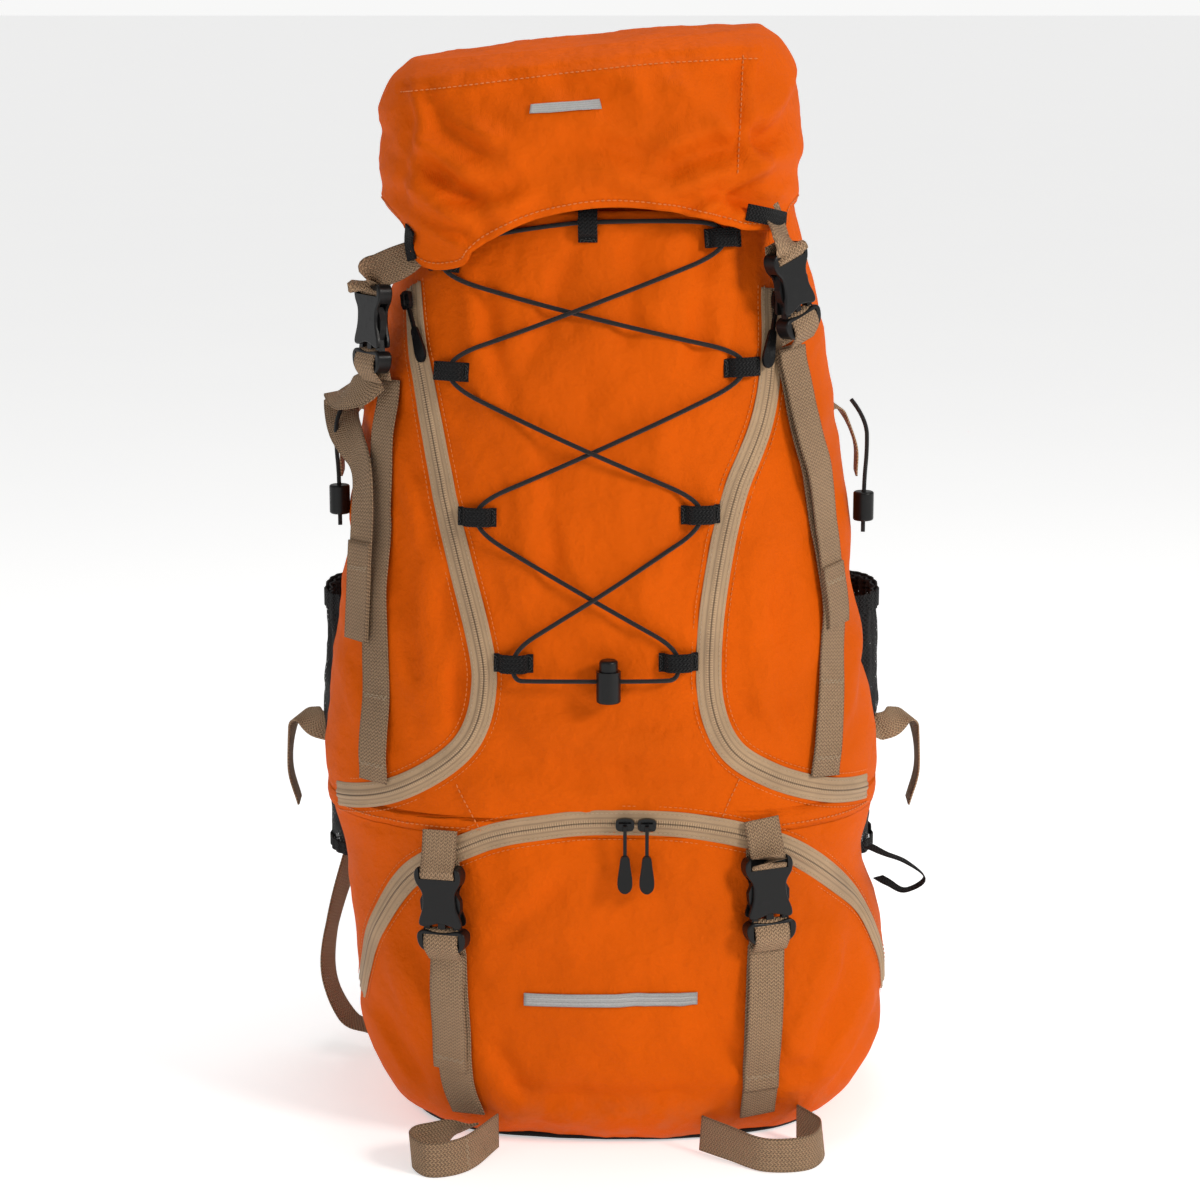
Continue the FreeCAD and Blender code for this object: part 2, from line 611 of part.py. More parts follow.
# ---------------------------------------------------------------- lid
lid_heights = (LID_UNDERSIDE, 680, 700, 715, 728, 737, LID_TOP)
nodes["lid_pocket"] = lid_loft(lid_heights)
skirt_heights = (596, 620, 640, 655, LID_UNDERSIDE - 0.3)
skirt = lid_loft(skirt_heights).cut(lid_loft((590, 620, 640, 655, LID_UNDERSIDE + 5), 3.0))
HEM = ((-150, 644), (-136, 632), (-127, 605), (-102, 604), (-80, 620), (-45, 636), (-3, 644), (42, 641), (78, 632),
       (92, 628), (116, 629), (126, 640), (150, 646))
skirt_region = list(HEM) + [(150, 700), (-150, 700)]
skirt = skirt.common(front_prism(skirt_region, -FAR, 40))
nodes["lid_skirt"] = max(skirt.Solids, key=lambda s: s.Volume)
HINGE_Y = 114.0
HINGE_Z = 652.0
nodes["lid_hinge_flap"] = box(-96, HINGE_Y - 0.8, 618, 88, HINGE_Y + 0.8, 690)

# ---------------------------------------------------------------- buckles, stubs, runs and tails
sockets = {"lid": [], "lower": []}
stubs = {"lid": [], "lower": []}
hem_tab = {"left": (-115, 606), "right": (98, 631)}
stub_top = {"left": (-109, 231), "right": (103, 239)}
HEM_LIFT = 14.0
for name, side in SIDES:
    x, z, lean = UPPER_BUCKLES[name]
    origin, across, up = buckle_frame(x, z, lean, UPPER_LIFT, UPPER_TILT)
    print("upper", name, "slide axis", [round(-c, 5) for c in up])
    sockets["lid"].append(place_on(buckle_socket(), origin, across, up))
    nodes["upper_clip_" + name] = place_on(buckle_prongs(), origin, across, up)
    outward = across.cross(up)
    start = origin + up * STUB_START + outward * 4
    tab, tab_normal = outer_surface(*hem_tab[name])
    tab = tab + tab_normal * HEM_LIFT
    stub = strip([start, (start + tab) * 0.5, tab], [tab_normal] * 3, WEBBING, WEBBING_THICK)
    stub = stub.cut(nodes["lid_skirt"]).cut(sockets["lid"][-1])
    stubs["lid"].append(max(stub.Solids, key=lambda solid: solid.Volume))

    x, z, lean = LOWER_BUCKLES[name]
    origin, across, up = buckle_frame(x, z, lean, LOWER_LIFT, LOWER_TILT)
    print("lower", name, "slide axis", [round(-c, 5) for c in up])
    sockets["lower"].append(place_on(buckle_socket(), origin, across, up))
    nodes["lower_clip_" + name] = place_on(buckle_prongs(), origin, across, up)
    tab, tab_normal = outer_surface(*stub_top[name])
    stubs["lower"].append(strip([origin + up * STUB_START, tab + tab_normal * 3.0], [tab_normal] * 2, WEBBING,
                                WEBBING_THICK))
nodes["lid_sockets"] = Part.makeCompound(sockets["lid"])
nodes["lower_sockets"] = Part.makeCompound(sockets["lower"])
nodes["lid_stubs"] = Part.makeCompound(stubs["lid"])
nodes["lower_stubs"] = Part.makeCompound(stubs["lower"])

RUN_PATH = {
    "left": ((-141, 526), (-147, 470), (-151, 400), (-152, 340), (-155, 262)),
    "right": ((119, 550), (126, 514), (147, 406), (151, 345), (147, 264)),
}
TAIL_PATH = {
    "left": ((-142, 525), (-157, 485), (-166, 450), (-166, 415), (-163, 352)),
    "right": ((119, 549), (128, 497), (143, 427), (153, 362)),
}
LOWER_TAIL = {"left": ((-104, 145), (-104, 100), (-104, 52)), "right": ((107, 151), (106, 100), (105, 49))}
RUN_LIFT, TAIL_LIFT, LOWER_TAIL_LIFT = 2.8, 7.0, 6.0
for name, side in SIDES:
    nodes["strap_run_" + name] = surface_strip(RUN_PATH[name], 24, RUN_LIFT, WEBBING, WEBBING_THICK)
    nodes["upper_tail_" + name] = surface_strip(TAIL_PATH[name], 22, TAIL_LIFT, WEBBING, WEBBING_THICK)
    nodes["lower_tail_" + name] = surface_strip(LOWER_TAIL[name], 14, LOWER_TAIL_LIFT, WEBBING, WEBBING_THICK)

# slack of the mat straps, lying in loops on the floor in front of the base
mat_loops = []
loop_routes = {
    "left": ((-92, -114, 14), (-112, -128, 13.5), (-130, -146, 13), (-118, -166, 12.6), (-94, -156, 13), (-74, -118, 14)),
    "right": ((66, -122, 14), (84, -138, 13.5), (108, -158, 13), (138, -152, 12.6), (147, -124, 13), (132, -101, 14)),
}
for name, side in SIDES:
    faces = ((-1, -0.6, 0), (-1, -0.5, 0), (-0.7, -1, 0), (0.2, -1, 0), (1, -0.6, 0), (1, -0.2, 0))
    mat_loops.append(free_strip(loop_routes[name], faces, 24, WEBBING, WEBBING_THICK))
nodes["mat_loops"] = Part.makeCompound(mat_loops)

# ---------------------------------------------------------------- side straps, pole loops, ribbon
side_straps = []
for name, side in SIDES:
    reach = curve_value(SWAY, 480) + side * 149
    high = ((reach, 30, 486), (reach + side * 9, 44, 492), (reach + side * 22, 54, 486), (reach + side * 33, 58, 462),
            (reach + side * 34, 60, 440))
    faces = ((side, 0, 0.2), (side * 0.5, 0, 1), (side * 0.6, 0, 1), (side, 0, 0.4), (side, 0, 0))
    side_straps.append(free_strip(high, faces, 14, WEBBING * 0.8, WEBBING_THICK))
    reach = side * 204 - 1
    low = ((reach, 30, 262), (reach + side * 10, 44, 266), (reach + side * 20, 54, 258), (reach + side * 24, 58, 225),
           (reach + side * 18, 60, 198))
    side_straps.append(free_strip(low, faces, 14, WEBBING * 0.8, WEBBING_THICK))
nodes["compression_straps"] = Part.makeCompound(side_straps)

pole_loops = []
TOGGLE_PLACE = {"left": (-181, -34, 442), "right": (176, -38, 438)}
for name, side in SIDES:
    x, y, z = TOGGLE_PLACE[name]
    route = ((x - side * 9, y + 6, z + 68), (x + side * 1, y - 3, z + 56), (x + side * 1.5, y - 4, z + 34),
             (x, y, z + 12), (x, y, z - 22))
    pole_loops.append(rope(route, CORD))
    toggle = Part.makeCylinder(7.0, 20.0, Vector(x, y, z - 14))
    toggle = soften(toggle, 1.5, lambda e: e.Length > 30)
    nodes["toggle_" + name] = toggle.cut(Part.makeCylinder(CORD / 2 + 0.4, 60, Vector(x, y, z - 30)))
nodes["pole_loops"] = Part.makeCompound(pole_loops)

ribbon = ((188, 2, 180), (198, -6, 177), (213, -10, 172), (226, -12, 161), (213, -10, 152), (202, -6, 156),
          (195, 2, 158))
ribbon_faces = ((0, 0, 1), (0.1, 0, 1), (0.3, 0, 1), (1, 0, 0), (0.3, 0, -1), (0.1, 0, -1), (0, 0, -1))
nodes["ribbon_loop"] = free_strip(ribbon, ribbon_faces, 18, 10, 1.0)

# ---------------------------------------------------------------- zip sliders
SLIDER_LIFT = 0.5 + ZIP_THICK + 0.8   # underside of a slider above the bag


def slider(origin, across, up):
    """Slider body with a bridge for its pull; it travels along the across direction."""
    body = plate(mirrored([(3, -4.2), (5.6, -3.0), (6.2, 0), (5.6, 3.0), (3, 4.2)]), 0.0, 3.0)
    bridge = box(-4.0, -5.4, -1.6, 4.0, -2.9, 1.6).cut(box(-2.8, -4.3, -5, 2.8, -2.9, 5))
    return place_on(body.fuse(bridge), origin, across, up)


def pull(origin, across, up, near, far):
    """Short cord and moulded rubber grip, hanging from the slider's bridge; near and far are off the bag."""
    middle = (near + far) / 2
    cord = box(-1.2, -middle - 1.0, -24, 1.2, -middle + 1.0, 0.5)
    grip = plate(mirrored([(1.5, -45), (3.8, -43), (4.6, -34), (3.4, -25), (1.6, -20)]), near, far)
    return place_on(cord.fuse(grip), origin, across, up)


def circle_through(first, middle, final):
    """Centre, axis and turn in degrees of the circle through three points."""
    centre = Part.Circle(first, middle, final).Center
    axis = (first - centre).cross(final - centre).normalize()
    return centre, axis, math.degrees((first - centre).getAngle(final - centre))


def arch_point(x):
    """Underside of a slider standing on the arched zip at this x."""
    samples = smooth_path(ARCH_PATH, 400)
    nearest = min(samples, key=lambda p: abs(p.x - x))
    point, normal = outer_surface(nearest.x, nearest.z)
    return point + normal * SLIDER_LIFT


SLIDER_X = {"left": 12.5, "right": 27.0}
SLIDER_TRAVEL = 52.0       # along X
PULL_PIVOT = 7.6           # in front of the slider's underside
for name, side in SIDES:
    start = arch_point(SLIDER_X[name])
    halfway = arch_point(SLIDER_X[name] + side * SLIDER_TRAVEL / 2)
    end = arch_point(SLIDER_X[name] + side * SLIDER_TRAVEL)
    centre, axis, turn = circle_through(start, halfway, end)
    print("lower slider", name, "centre", [round(c, 2) for c in centre], "axis", [round(c, 5) for c in axis],
          "turn", round(turn, 2))
    across, up = Vector(1, 0, 0), Vector(0, 0, 1)
    nodes["lower_slider_" + name] = slider(start, across, up)
    nodes["lower_pull_" + name] = pull(start, across, up, 5.8, 9.6)
    print("lower pull", name, "pivot", [round(c, 2) for c in start + Vector(0, -PULL_PIVOT, 0)])

POCKET_SLIDER_EXTRA = 1.0  # it runs straight above a slightly curved zip
POCKET_SLIDERS = {"left": ((-126, 578), (-119, 526), -0.2), "right": ((109, 580), (105, 520), -0.12)}
for name, side in SIDES:
    top, low, splay = POCKET_SLIDERS[name]
    start, normal = outer_surface(*top)
    end, _ = outer_surface(*low)
    travel = end - start
    along = (travel * -1).normalize()
    width = normal.cross(along).normalize()
    print("pocket slider", name, "axis", [round(-c, 5) for c in along], "travel", round(travel.Length, 1))
    hanging = (along + width * (side * splay)).normalize()
    level = hanging.cross(normal).normalize()
    stand = start + normal * (SLIDER_LIFT + POCKET_SLIDER_EXTRA)
    body = slider(stand, along, width)
    nodes["pocket_slider_" + name] = body.fuse(pull(stand, level, hanging, 0.4, 2.2))

for node, shape in nodes.items():
    shape.exportStep("parts/" + node + ".step")
    valid = shape.isValid()
    print(node, "solids", len(shape.Solids), "valid", valid, "volume", round(shape.Volume / 1000, 1))
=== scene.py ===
"""Looks of a hiking backpack: sewn fabric, webbing, zips, cords and moulded parts laid over the fixed frame.

Shapes are in millimetres up to the moment a mesh is made; the camera, lights, shaders and the lacing's route
are in metres. LEFT and RIGHT are as seen from the lacing side.
"""
import json
import math

import bmesh
import bpy
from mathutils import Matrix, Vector, noise
from mathutils.kdtree import KDTree


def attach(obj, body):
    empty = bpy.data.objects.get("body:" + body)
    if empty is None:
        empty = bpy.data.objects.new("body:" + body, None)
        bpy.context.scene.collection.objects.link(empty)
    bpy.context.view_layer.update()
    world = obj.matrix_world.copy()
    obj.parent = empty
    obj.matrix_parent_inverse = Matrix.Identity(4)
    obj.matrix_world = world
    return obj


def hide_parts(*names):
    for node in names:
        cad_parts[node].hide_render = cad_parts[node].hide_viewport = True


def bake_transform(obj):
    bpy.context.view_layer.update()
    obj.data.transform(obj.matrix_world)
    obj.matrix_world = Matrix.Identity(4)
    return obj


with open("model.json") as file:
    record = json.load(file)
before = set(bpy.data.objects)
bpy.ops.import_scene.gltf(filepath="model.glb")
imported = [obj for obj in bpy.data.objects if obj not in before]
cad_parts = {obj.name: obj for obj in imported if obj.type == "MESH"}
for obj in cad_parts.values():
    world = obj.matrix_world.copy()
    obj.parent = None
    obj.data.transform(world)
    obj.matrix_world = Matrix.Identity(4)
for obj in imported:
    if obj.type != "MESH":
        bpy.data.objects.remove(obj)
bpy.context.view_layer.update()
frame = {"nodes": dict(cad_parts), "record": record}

MM = 0.001
LEFT, RIGHT = -1, 1
SIDES = (("left", LEFT), ("right", RIGHT))
scene = bpy.context.scene


# ================================================================ camera, floor and light
def look_at(thing, eye, aim):
    thing.location = eye
    thing.rotation_euler = (Vector(aim) - Vector(eye)).to_track_quat("-Z", "Y").to_euler()


def add_camera():
    data = bpy.data.cameras.new("camera")
    data.lens = 90
    data.sensor_width = 36
    data.shift_x = -0.0042
    camera = bpy.data.objects.new("camera", data)
    scene.collection.objects.link(camera)
    look_at(camera, (0, -2.05, 0.80), (0, 0, 0.36))
    scene.camera = camera


def add_light(name, place, aim, size, power, colour):
    data = bpy.data.lights.new(name, "AREA")
    data.shape = "DISK"
    data.size = size
    data.energy = power
    data.color = colour
    lamp = bpy.data.objects.new(name, data)
    scene.collection.objects.link(lamp)
    look_at(lamp, place, aim)


def add_studio():
    add_light("key", (1.9, -1.5, 1.6), (0, 0, 0.35), 0.7, 39, (1.0, 0.97, 0.92))
    add_light("fill", (-1.6, -2.2, 1.0), (0, 0, 0.35), 1.6, 7, (0.95, 0.97, 1.0))
    add_light("top", (0.1, 0.3, 2.3), (0, 0, 0.4), 1.0, 13, (1, 1, 1))
    world = bpy.data.worlds.new("studio")
    world.use_nodes = True
    nodes, links = world.node_tree.nodes, world.node_tree.links
    nodes["Background"].inputs["Color"].default_value = (1, 1, 1, 1)
    nodes["Background"].inputs["Strength"].default_value = 0.41
    white = nodes.new("ShaderNodeBackground")
    choose = nodes.new("ShaderNodeMixShader")
    links.new(nodes.new("ShaderNodeLightPath").outputs["Is Camera Ray"], choose.inputs[0])
    links.new(nodes["Background"].outputs[0], choose.inputs[1])
    links.new(white.outputs[0], choose.inputs[2])
    links.new(choose.outputs[0], nodes["World Output"].inputs["Surface"])
    white.inputs["Color"].default_value = (0.94, 0.94, 0.935, 1)
    scene.world = world
    scene.view_settings.view_transform = "Standard"


# ================================================================ shader arithmetic
class Wire:
    """A number that flows between shader nodes; ordinary arithmetic on it adds the nodes."""

    def __init__(self, paint, socket):
        self.paint = paint
        self.socket = socket

    def math(self, operation, *others):
        return self.paint.node("ShaderNodeMath", (self,) + others, operation=operation)

    def __add__(self, other):
        return self.math("ADD", other)

    def __sub__(self, other):
        return self.math("SUBTRACT", other)

    def __mul__(self, other):
        return self.math("MULTIPLY", other)

    def __rsub__(self, other):
        return self * -1 + other

    __radd__ = __add__
    __rmul__ = __mul__

    def wave(self, pitch, shift=0.0):
        """Sine along this length, from -1 to 1."""
        return (self * (2 * math.pi / pitch) + shift).math("SINE")

    def size(self):
        return self.math("ABSOLUTE")

    def above(self, low, high):
        """0 below low, 1 above high, smooth between."""
        return self.paint.node("ShaderNodeMapRange", (self, low, high), interpolation_type="SMOOTHSTEP")


class Paint:
    """One material: a Principled shader whose inputs are built from arithmetic on Wire values."""

    def __init__(self, name, **fixed):
        self.material = bpy.data.materials.new(name)
        self.material.use_nodes = True
        self.tree = self.material.node_tree
        self.shader = self.tree.nodes["Principled BSDF"]
        for socket, value in fixed.items():
            self.shader.inputs[socket.replace("_", " ")].default_value = value
        self.bumps = None

    def node(self, kind, inputs=(), output=0, **settings):
        """Any node: inputs by position or, from a dict, by name. Returns its output as a Wire."""
        made = self.tree.nodes.new(kind)
        for setting, value in settings.items():
            setattr(made, setting, value)
        pairs = inputs.items() if isinstance(inputs, dict) else enumerate(inputs)
        for key, value in pairs:
            self.feed(made.inputs[key], value)
        return Wire(self, made.outputs[output])

    def feed(self, socket, value):
        if isinstance(value, Wire):
            self.tree.links.new(value.socket, socket)
        else:
            socket.default_value = value

    def set(self, socket, value):
        self.feed(self.shader.inputs[socket], value)

    def place(self, source="Object"):
        """The three parts of Object or UV coordinates."""
        coordinates = self.node("ShaderNodeTexCoord", output=source)
        split = self.tree.nodes.new("ShaderNodeSeparateXYZ")
        self.tree.links.new(coordinates.socket, split.inputs[0])
        return [Wire(self, socket) for socket in split.outputs], coordinates

    def noise(self, coordinates, scale, detail=3.0, roughness=0.5):
        inputs = {"Vector": coordinates, "Scale": scale, "Detail": detail, "Roughness": roughness}
        return self.node("ShaderNodeTexNoise", inputs, noise_dimensions="3D")

    def mix(self, factor, first, second):
        """Colour between two colours."""
        made = self.tree.nodes.new("ShaderNodeMix")
        made.data_type = "RGBA"
        self.feed(made.inputs["Factor"], factor)
        self.feed(made.inputs[6], first)
        self.feed(made.inputs[7], second)
        return Wire(self, made.outputs[2])

    def bump(self, height, distance, strength=1.0):
        """Adds relief of this depth in metres on top of what is there."""
        inputs = {"Strength": strength, "Distance": distance, "Height": height}
        if self.bumps:
            inputs["Normal"] = self.bumps
        self.bumps = self.node("ShaderNodeBump", inputs)
        self.set("Normal", self.bumps)


def rgba(colour, level=1.0):
    return tuple(min(1.0, c * level) for c in colour) + (1.0,)


ORANGE = (0.66, 0.096, 0.0008)
TAN = (0.40, 0.255, 0.15)
PALE_TAN = (0.47, 0.31, 0.18)
BLACK = (0.0048, 0.0048, 0.0050)
THREAD_ORANGE = (0.74, 0.20, 0.03)
WHITE = (0.82, 0.80, 0.76)


def shell_fabric(name, colour):
    """Coated pack cloth: fine plain weave, soft crinkles, uneven dye and a dusty lower edge."""
    paint = Paint(name, Specular_IOR_Level=0.05)
    (x, y, z), where = paint.place()
    around = x.size() + y
    up = z - y * 0.5
    weave = around.wave(0.0011) * up.wave(0.0011)
    slub = paint.noise(where, 900.0, 2.0)
    cloudy = paint.noise(where, 9.0, 3.0)
    crinkle = paint.noise(where, 46.0, 5.0, 0.55)
    tone = cloudy * 0.7 + slub * 0.2 + weave * 0.06 + 0.08
    colour_now = paint.mix(tone.above(0.2, 0.85), rgba(colour, 0.84), rgba(colour, 1.10))
    dust = (0.055 - z).above(0.0, 0.06) * paint.noise(where, 60.0, 4.0).above(0.42, 0.68)
    paint.set("Base Color", paint.mix(dust * 0.18, colour_now, (0.30, 0.20, 0.13, 1)))
    paint.set("Roughness", cloudy * 0.16 + slub * 0.08 + 0.50)
    paint.bump(cloudy, 0.010, 0.5)
    paint.bump(crinkle, 0.0060, 0.8)
    paint.bump(weave * 0.5 + slub * 0.5, 0.00022, 0.8)
    return paint.material


def webbing_fabric(name, colour, half_width, rib=0.0024):
    """Heavy woven band: chevron ribs along the band, fine fuzz, painted shade in the gaps between yarns and
    along both edges.
    """
    paint = Paint(name, Specular_IOR_Level=0.14, Sheen_Weight=0.03, Sheen_Roughness=0.5)
    (u, v, _), _ = paint.place("UV")
    _, spot = paint.place()
    column = u.math("PINGPONG", 0.0016)
    rib_wave = (v + column * 1.1).wave(rib)
    yarn = u.wave(0.0032, 0.6)
    height = rib_wave * 0.6 + yarn.size() * 0.5
    fuzz = paint.noise(spot, 700.0, 3.0)
    stain = paint.noise(spot, 14.0, 4.0)
    edge = u.size().above(half_width * MM - 0.0016, half_width * MM - 0.0004)
    # painted shade: the tone follows the relief height, so the low gaps between yarns come out darker, and edge
    # darkens both edges of the band
    tone = height * 0.42 + fuzz * 0.30 + stain * 0.50 - edge * 0.30
    paint.set("Base Color", paint.mix(tone.above(-0.05, 0.95), rgba(colour, 0.55), rgba(colour, 1.42)))
    paint.set("Roughness", fuzz * 0.2 + 0.62)
    paint.bump(fuzz, 0.0006, 0.4)
    paint.bump(height, 0.0013, 1.0)
    return paint.material


def zip_tape(name, colour):
    """Woven tape with two rows of coil meeting at the middle, painted shade in the slot between them and along
    their feet, and fine twill on both wings.
    """
    paint = Paint(name, Specular_IOR_Level=0.3)
    (u, v, _), _ = paint.place("UV")
    _, spot = paint.place()
    from_middle = u.size()
    coil = 1.0 - from_middle.above(0.0020, 0.0026)
    # gap: painted shade in the slot between the two coil rows
    gap = 1.0 - from_middle.above(0.0002, 0.0008)
    teeth = v.wave(0.0016) * coil
    twill = (v + from_middle * 0.8).wave(0.0011) * (1.0 - coil)
    worn = paint.noise(spot, 30.0, 4.0)
    tone = worn * 0.6 + twill * 0.12 + teeth * 0.18 + 0.2
    cloth = paint.mix(tone.above(0.1, 0.8), rgba(colour, 0.66), rgba(colour, 1.12))
    # seam: painted shade along the foot of each coil row, where it drops to the tape
    seam = from_middle.above(0.0026, 0.0032) * (1.0 - from_middle.above(0.0034, 0.0044))
    paint.set("Base Color", paint.mix(gap * 0.75 + seam * 0.35, cloth, rgba(colour, 0.22)))
    paint.set("Roughness", worn * 0.2 + 0.45 - coil * 0.1)
    paint.bump(teeth * 0.6 + twill * 0.3, 0.0005, 0.9)
    return paint.material


def open_mesh(name):
    """Black knitted mesh with small round holes."""
    paint = Paint(name, Specular_IOR_Level=0.3)
    (x, y, z), where = paint.place()
    around = x.size() + y
    knit = around.wave(0.0042) * z.wave(0.0036)
    fine = around.wave(0.0014) * z.wave(0.0012)
    fuzz = paint.noise(where, 500.0)
    paint.set("Base Color", paint.mix(fuzz, rgba(BLACK, 1.2), rgba(BLACK, 3.0)))
    paint.set("Roughness", fuzz * 0.2 + 0.6)
    paint.set("Alpha", 1.0 - knit.above(0.38, 0.55))
    paint.bump(knit * -1 + fine * 0.3, 0.0006, 0.8)
    return paint.material


def black_cloth(name, pitch=0.0013, level=1.5):
    """Black woven or knitted cloth with a visible grain."""
    paint = Paint(name, Specular_IOR_Level=0.16, Sheen_Weight=0.02, Sheen_Roughness=0.5)
    (x, y, z), where = paint.place()
    around = x.size() + y
    grain = around.wave(pitch) * z.wave(pitch)
    fuzz = paint.noise(where, 420.0, 4.0)
    lint = paint.noise(where, 90.0, 5.0).above(0.62, 0.75)
    base = paint.mix(fuzz, rgba(BLACK, level * 0.7), rgba(BLACK, level * 1.7))
    paint.set("Base Color", paint.mix(lint * 0.25, base, (0.07, 0.065, 0.06, 1)))
    paint.set("Roughness", fuzz * 0.2 + 0.6)
    paint.bump(fuzz, 0.0008, 0.3)
    paint.bump(grain, 0.0005, 0.8)
    return paint.material


def moulded_plastic(name, roughness=0.30, colour=BLACK):
    """Black acetal: satin skin with very fine sparking texture, scuffed in places."""
    paint = Paint(name, Specular_IOR_Level=0.24)
    _, where = paint.place()
    scuff = paint.noise(where, 160.0, 6.0, 0.6)
    grain = paint.noise(where, 2400.0, 2.0)
    marks = scuff.above(0.56, 0.70)
    paint.set("Base Color", paint.mix(marks * 0.3, rgba(colour, 1.1), rgba(colour, 3.2)))
    paint.set("Roughness", marks * 0.18 + scuff * 0.12 + roughness - 0.05)
    paint.bump(grain, 0.00006, 0.6)
    paint.bump(scuff, 0.0003, 0.25)
    return paint.material


def braided_cord(name, colour=BLACK):
    """Round braid: crossing diagonal strands."""
    paint = Paint(name, Specular_IOR_Level=0.3, Sheen_Weight=0.1)
    (x, _, z), where = paint.place()
    braid = (x + z).wave(0.0017) * (x - z).wave(0.0017)
    fuzz = paint.noise(where, 600.0)
    paint.set("Base Color", paint.mix(braid * 0.4 + fuzz * 0.6, rgba(colour, 0.8), rgba(colour, 2.6)))
    paint.set("Roughness", fuzz * 0.2 + 0.55)
    paint.bump(braid, 0.0004, 0.9)
    return paint.material


def thread(name, colour):
    """Shiny twisted sewing thread."""
    paint = Paint(name, Specular_IOR_Level=0.4, Sheen_Weight=0.1)
    (x, y, z), where = paint.place()
    twist = (x + y + z).wave(0.0005)
    shade = paint.noise(where, 300.0)
    paint.set("Base Color", paint.mix(shade + twist * 0.1, rgba(colour, 0.75), rgba(colour, 1.2)))
    paint.set("Roughness", shade * 0.2 + 0.38)
    paint.bump(twist, 0.00015, 0.7)
    return paint.material


def floor_paint(name):
    paint = Paint(name, Specular_IOR_Level=0.2, Emission_Color=(1, 1, 1, 1), Emission_Strength=0.47)
    _, where = paint.place()
    cloud = paint.noise(where, 2.0)
    paint.set("Base Color", paint.mix(cloud, (0.90, 0.90, 0.90, 1), (0.93, 0.93, 0.92, 1)))
    paint.set("Roughness", cloud * 0.1 + 0.7)
    return paint.material


CLOTH = shell_fabric("pack_cloth", ORANGE)
TAPE = zip_tape("zip_tape", PALE_TAN)
WEB = webbing_fabric("tan_webbing", TAN, 12.5)
BLACK_WEB = webbing_fabric("black_webbing", (0.009, 0.009, 0.0095), 10.0)
MESH = open_mesh("pocket_mesh")
DARK = black_cloth("black_cloth")
SPACER = black_cloth("spacer_mesh", 0.0046, 1.8)
PLASTIC = moulded_plastic("black_acetal")
RUBBER = moulded_plastic("grip_rubber", 0.5)
METAL = moulded_plastic("black_slider", 0.24)
STAY = moulded_plastic("stay_metal", 0.35, (0.55, 0.55, 0.56))
SHEET = moulded_plastic("sheet_plastic", 0.45, (0.03, 0.03, 0.033))
CORD_PAINT = braided_cord("shock_cord")
STITCH = thread("orange_thread", THREAD_ORANGE)
TAN_STITCH = thread("tan_thread", (0.50, 0.36, 0.23))
BLACK_STITCH = thread("black_thread", (0.03, 0.03, 0.03))
PATCH = webbing_fabric("white_satin", WHITE, 5.0, 0.0009)


# ================================================================ shape of the stuffed bag
# Height, then a value there: the same profiles as the frame's.
LOWER_TOP, MAIN_TOP = 228.0, 640.0
REAR_DEPTH, REAR_POWER, FRONT_POWER = 108.0, 4.5, 2.6
SWAY = ((0, 10), (60, 13), (120, 10), (180, 1), (300, -3), (500, -4), (620, -1))
LOWER_HALF_WIDTH = ((0, 142), (12, 158), (40, 177), (95, 188), (140, 187), (180, 181), (200, 182), (228, 192))
OUTER_HALF_WIDTH = ((205, 190), (228, 193), (290, 190), (360, 180), (430, 170), (500, 161), (570, 147),
                    (640, 126))
CORE_HALF_WIDTH = ((205, 170), (228, 165), (290, 157), (360, 152), (430, 147), (500, 141), (570, 131),
                   (640, 117))
FRONT_DEPTH = ((0, 98), (12, 113), (40, 128), (95, 138), (180, 139), (300, 140), (400, 137), (500, 131),
               (570, 124), (640, 116))
ZIP_PATH = {
    "left": ((-127, 588), (-124, 551), (-118, 522), (-103, 444), (-83, 362), (-80, 328), (-88, 298),
             (-107, 276), (-142, 254), (-184, 239)),
    "right": ((109, 588), (109, 545), (103, 503), (85, 457), (75, 412), (69, 365), (70, 320), (83, 288),
              (110, 268), (146, 253), (180, 244)),
}
ARCH_PATH = ((-171, 92), (-167, 115), (-157, 151), (-130, 196), (-83, 225), (-43, 235), (0, 239), (63, 235),
             (122, 215), (169, 171), (190, 130), (197, 97))


def curve_value(points, at):
    """Smooth value at a height, through (height, value) pairs, flat past both ends."""
    if at <= points[0][0]:
        return float(points[0][1])
    if at >= points[-1][0]:
        return float(points[-1][1])
    last = len(points) - 1
    i = max(k for k in range(last) if points[k][0] <= at)
    (x0, y0), (x1, y1) = points[i], points[i + 1]
    rise = (y1 - y0) / (x1 - x0)
    before = rise if i == 0 else (y0 - points[i - 1][1]) / (x0 - points[i - 1][0])
    after = rise if i + 1 == last else (points[i + 2][1] - y1) / (points[i + 2][0] - x1)
    slope0, slope1, span = 0.5 * (before + rise), 0.5 * (rise + after), x1 - x0
    t = (at - x0) / span
    return (
        y0 * (2 * t**3 - 3 * t**2 + 1)
        + slope0 * span * (t**3 - 2 * t**2 + t)
        + y1 * (3 * t**2 - 2 * t**3)
        + slope1 * span * (t**3 - t**2)
    )


def smooth_path(points, count):
    """Evenly spaced samples of a smooth curve through 2-D or 3-D points."""
    corners = [Vector(p) for p in points]
    corners = [2 * corners[0] - corners[1]] + corners + [2 * corners[-1] - corners[-2]]
    fine = []
    for a, b, c, d in zip(corners, corners[1:], corners[2:], corners[3:]):
        for k in range(12):
            t = k / 12
            fine.append(0.5 * (2 * b + (c - a) * t + (2 * a - 5 * b + 4 * c - d) * t**2
                               + (3 * b - 3 * c + d - a) * t**3))
    fine.append(corners[-2])
    reach = [0.0]
    for a, b in zip(fine, fine[1:]):
        reach.append(reach[-1] + (b - a).length)
    places = []
    k = 0
    for i in range(count):
        want = reach[-1] * i / (count - 1)
        while k < len(fine) - 2 and reach[k + 1] < want:
            k += 1
        share = (want - reach[k]) / max(1e-6, reach[k + 1] - reach[k])
        places.append(fine[k].lerp(fine[k + 1], min(1.0, share)))
    return places


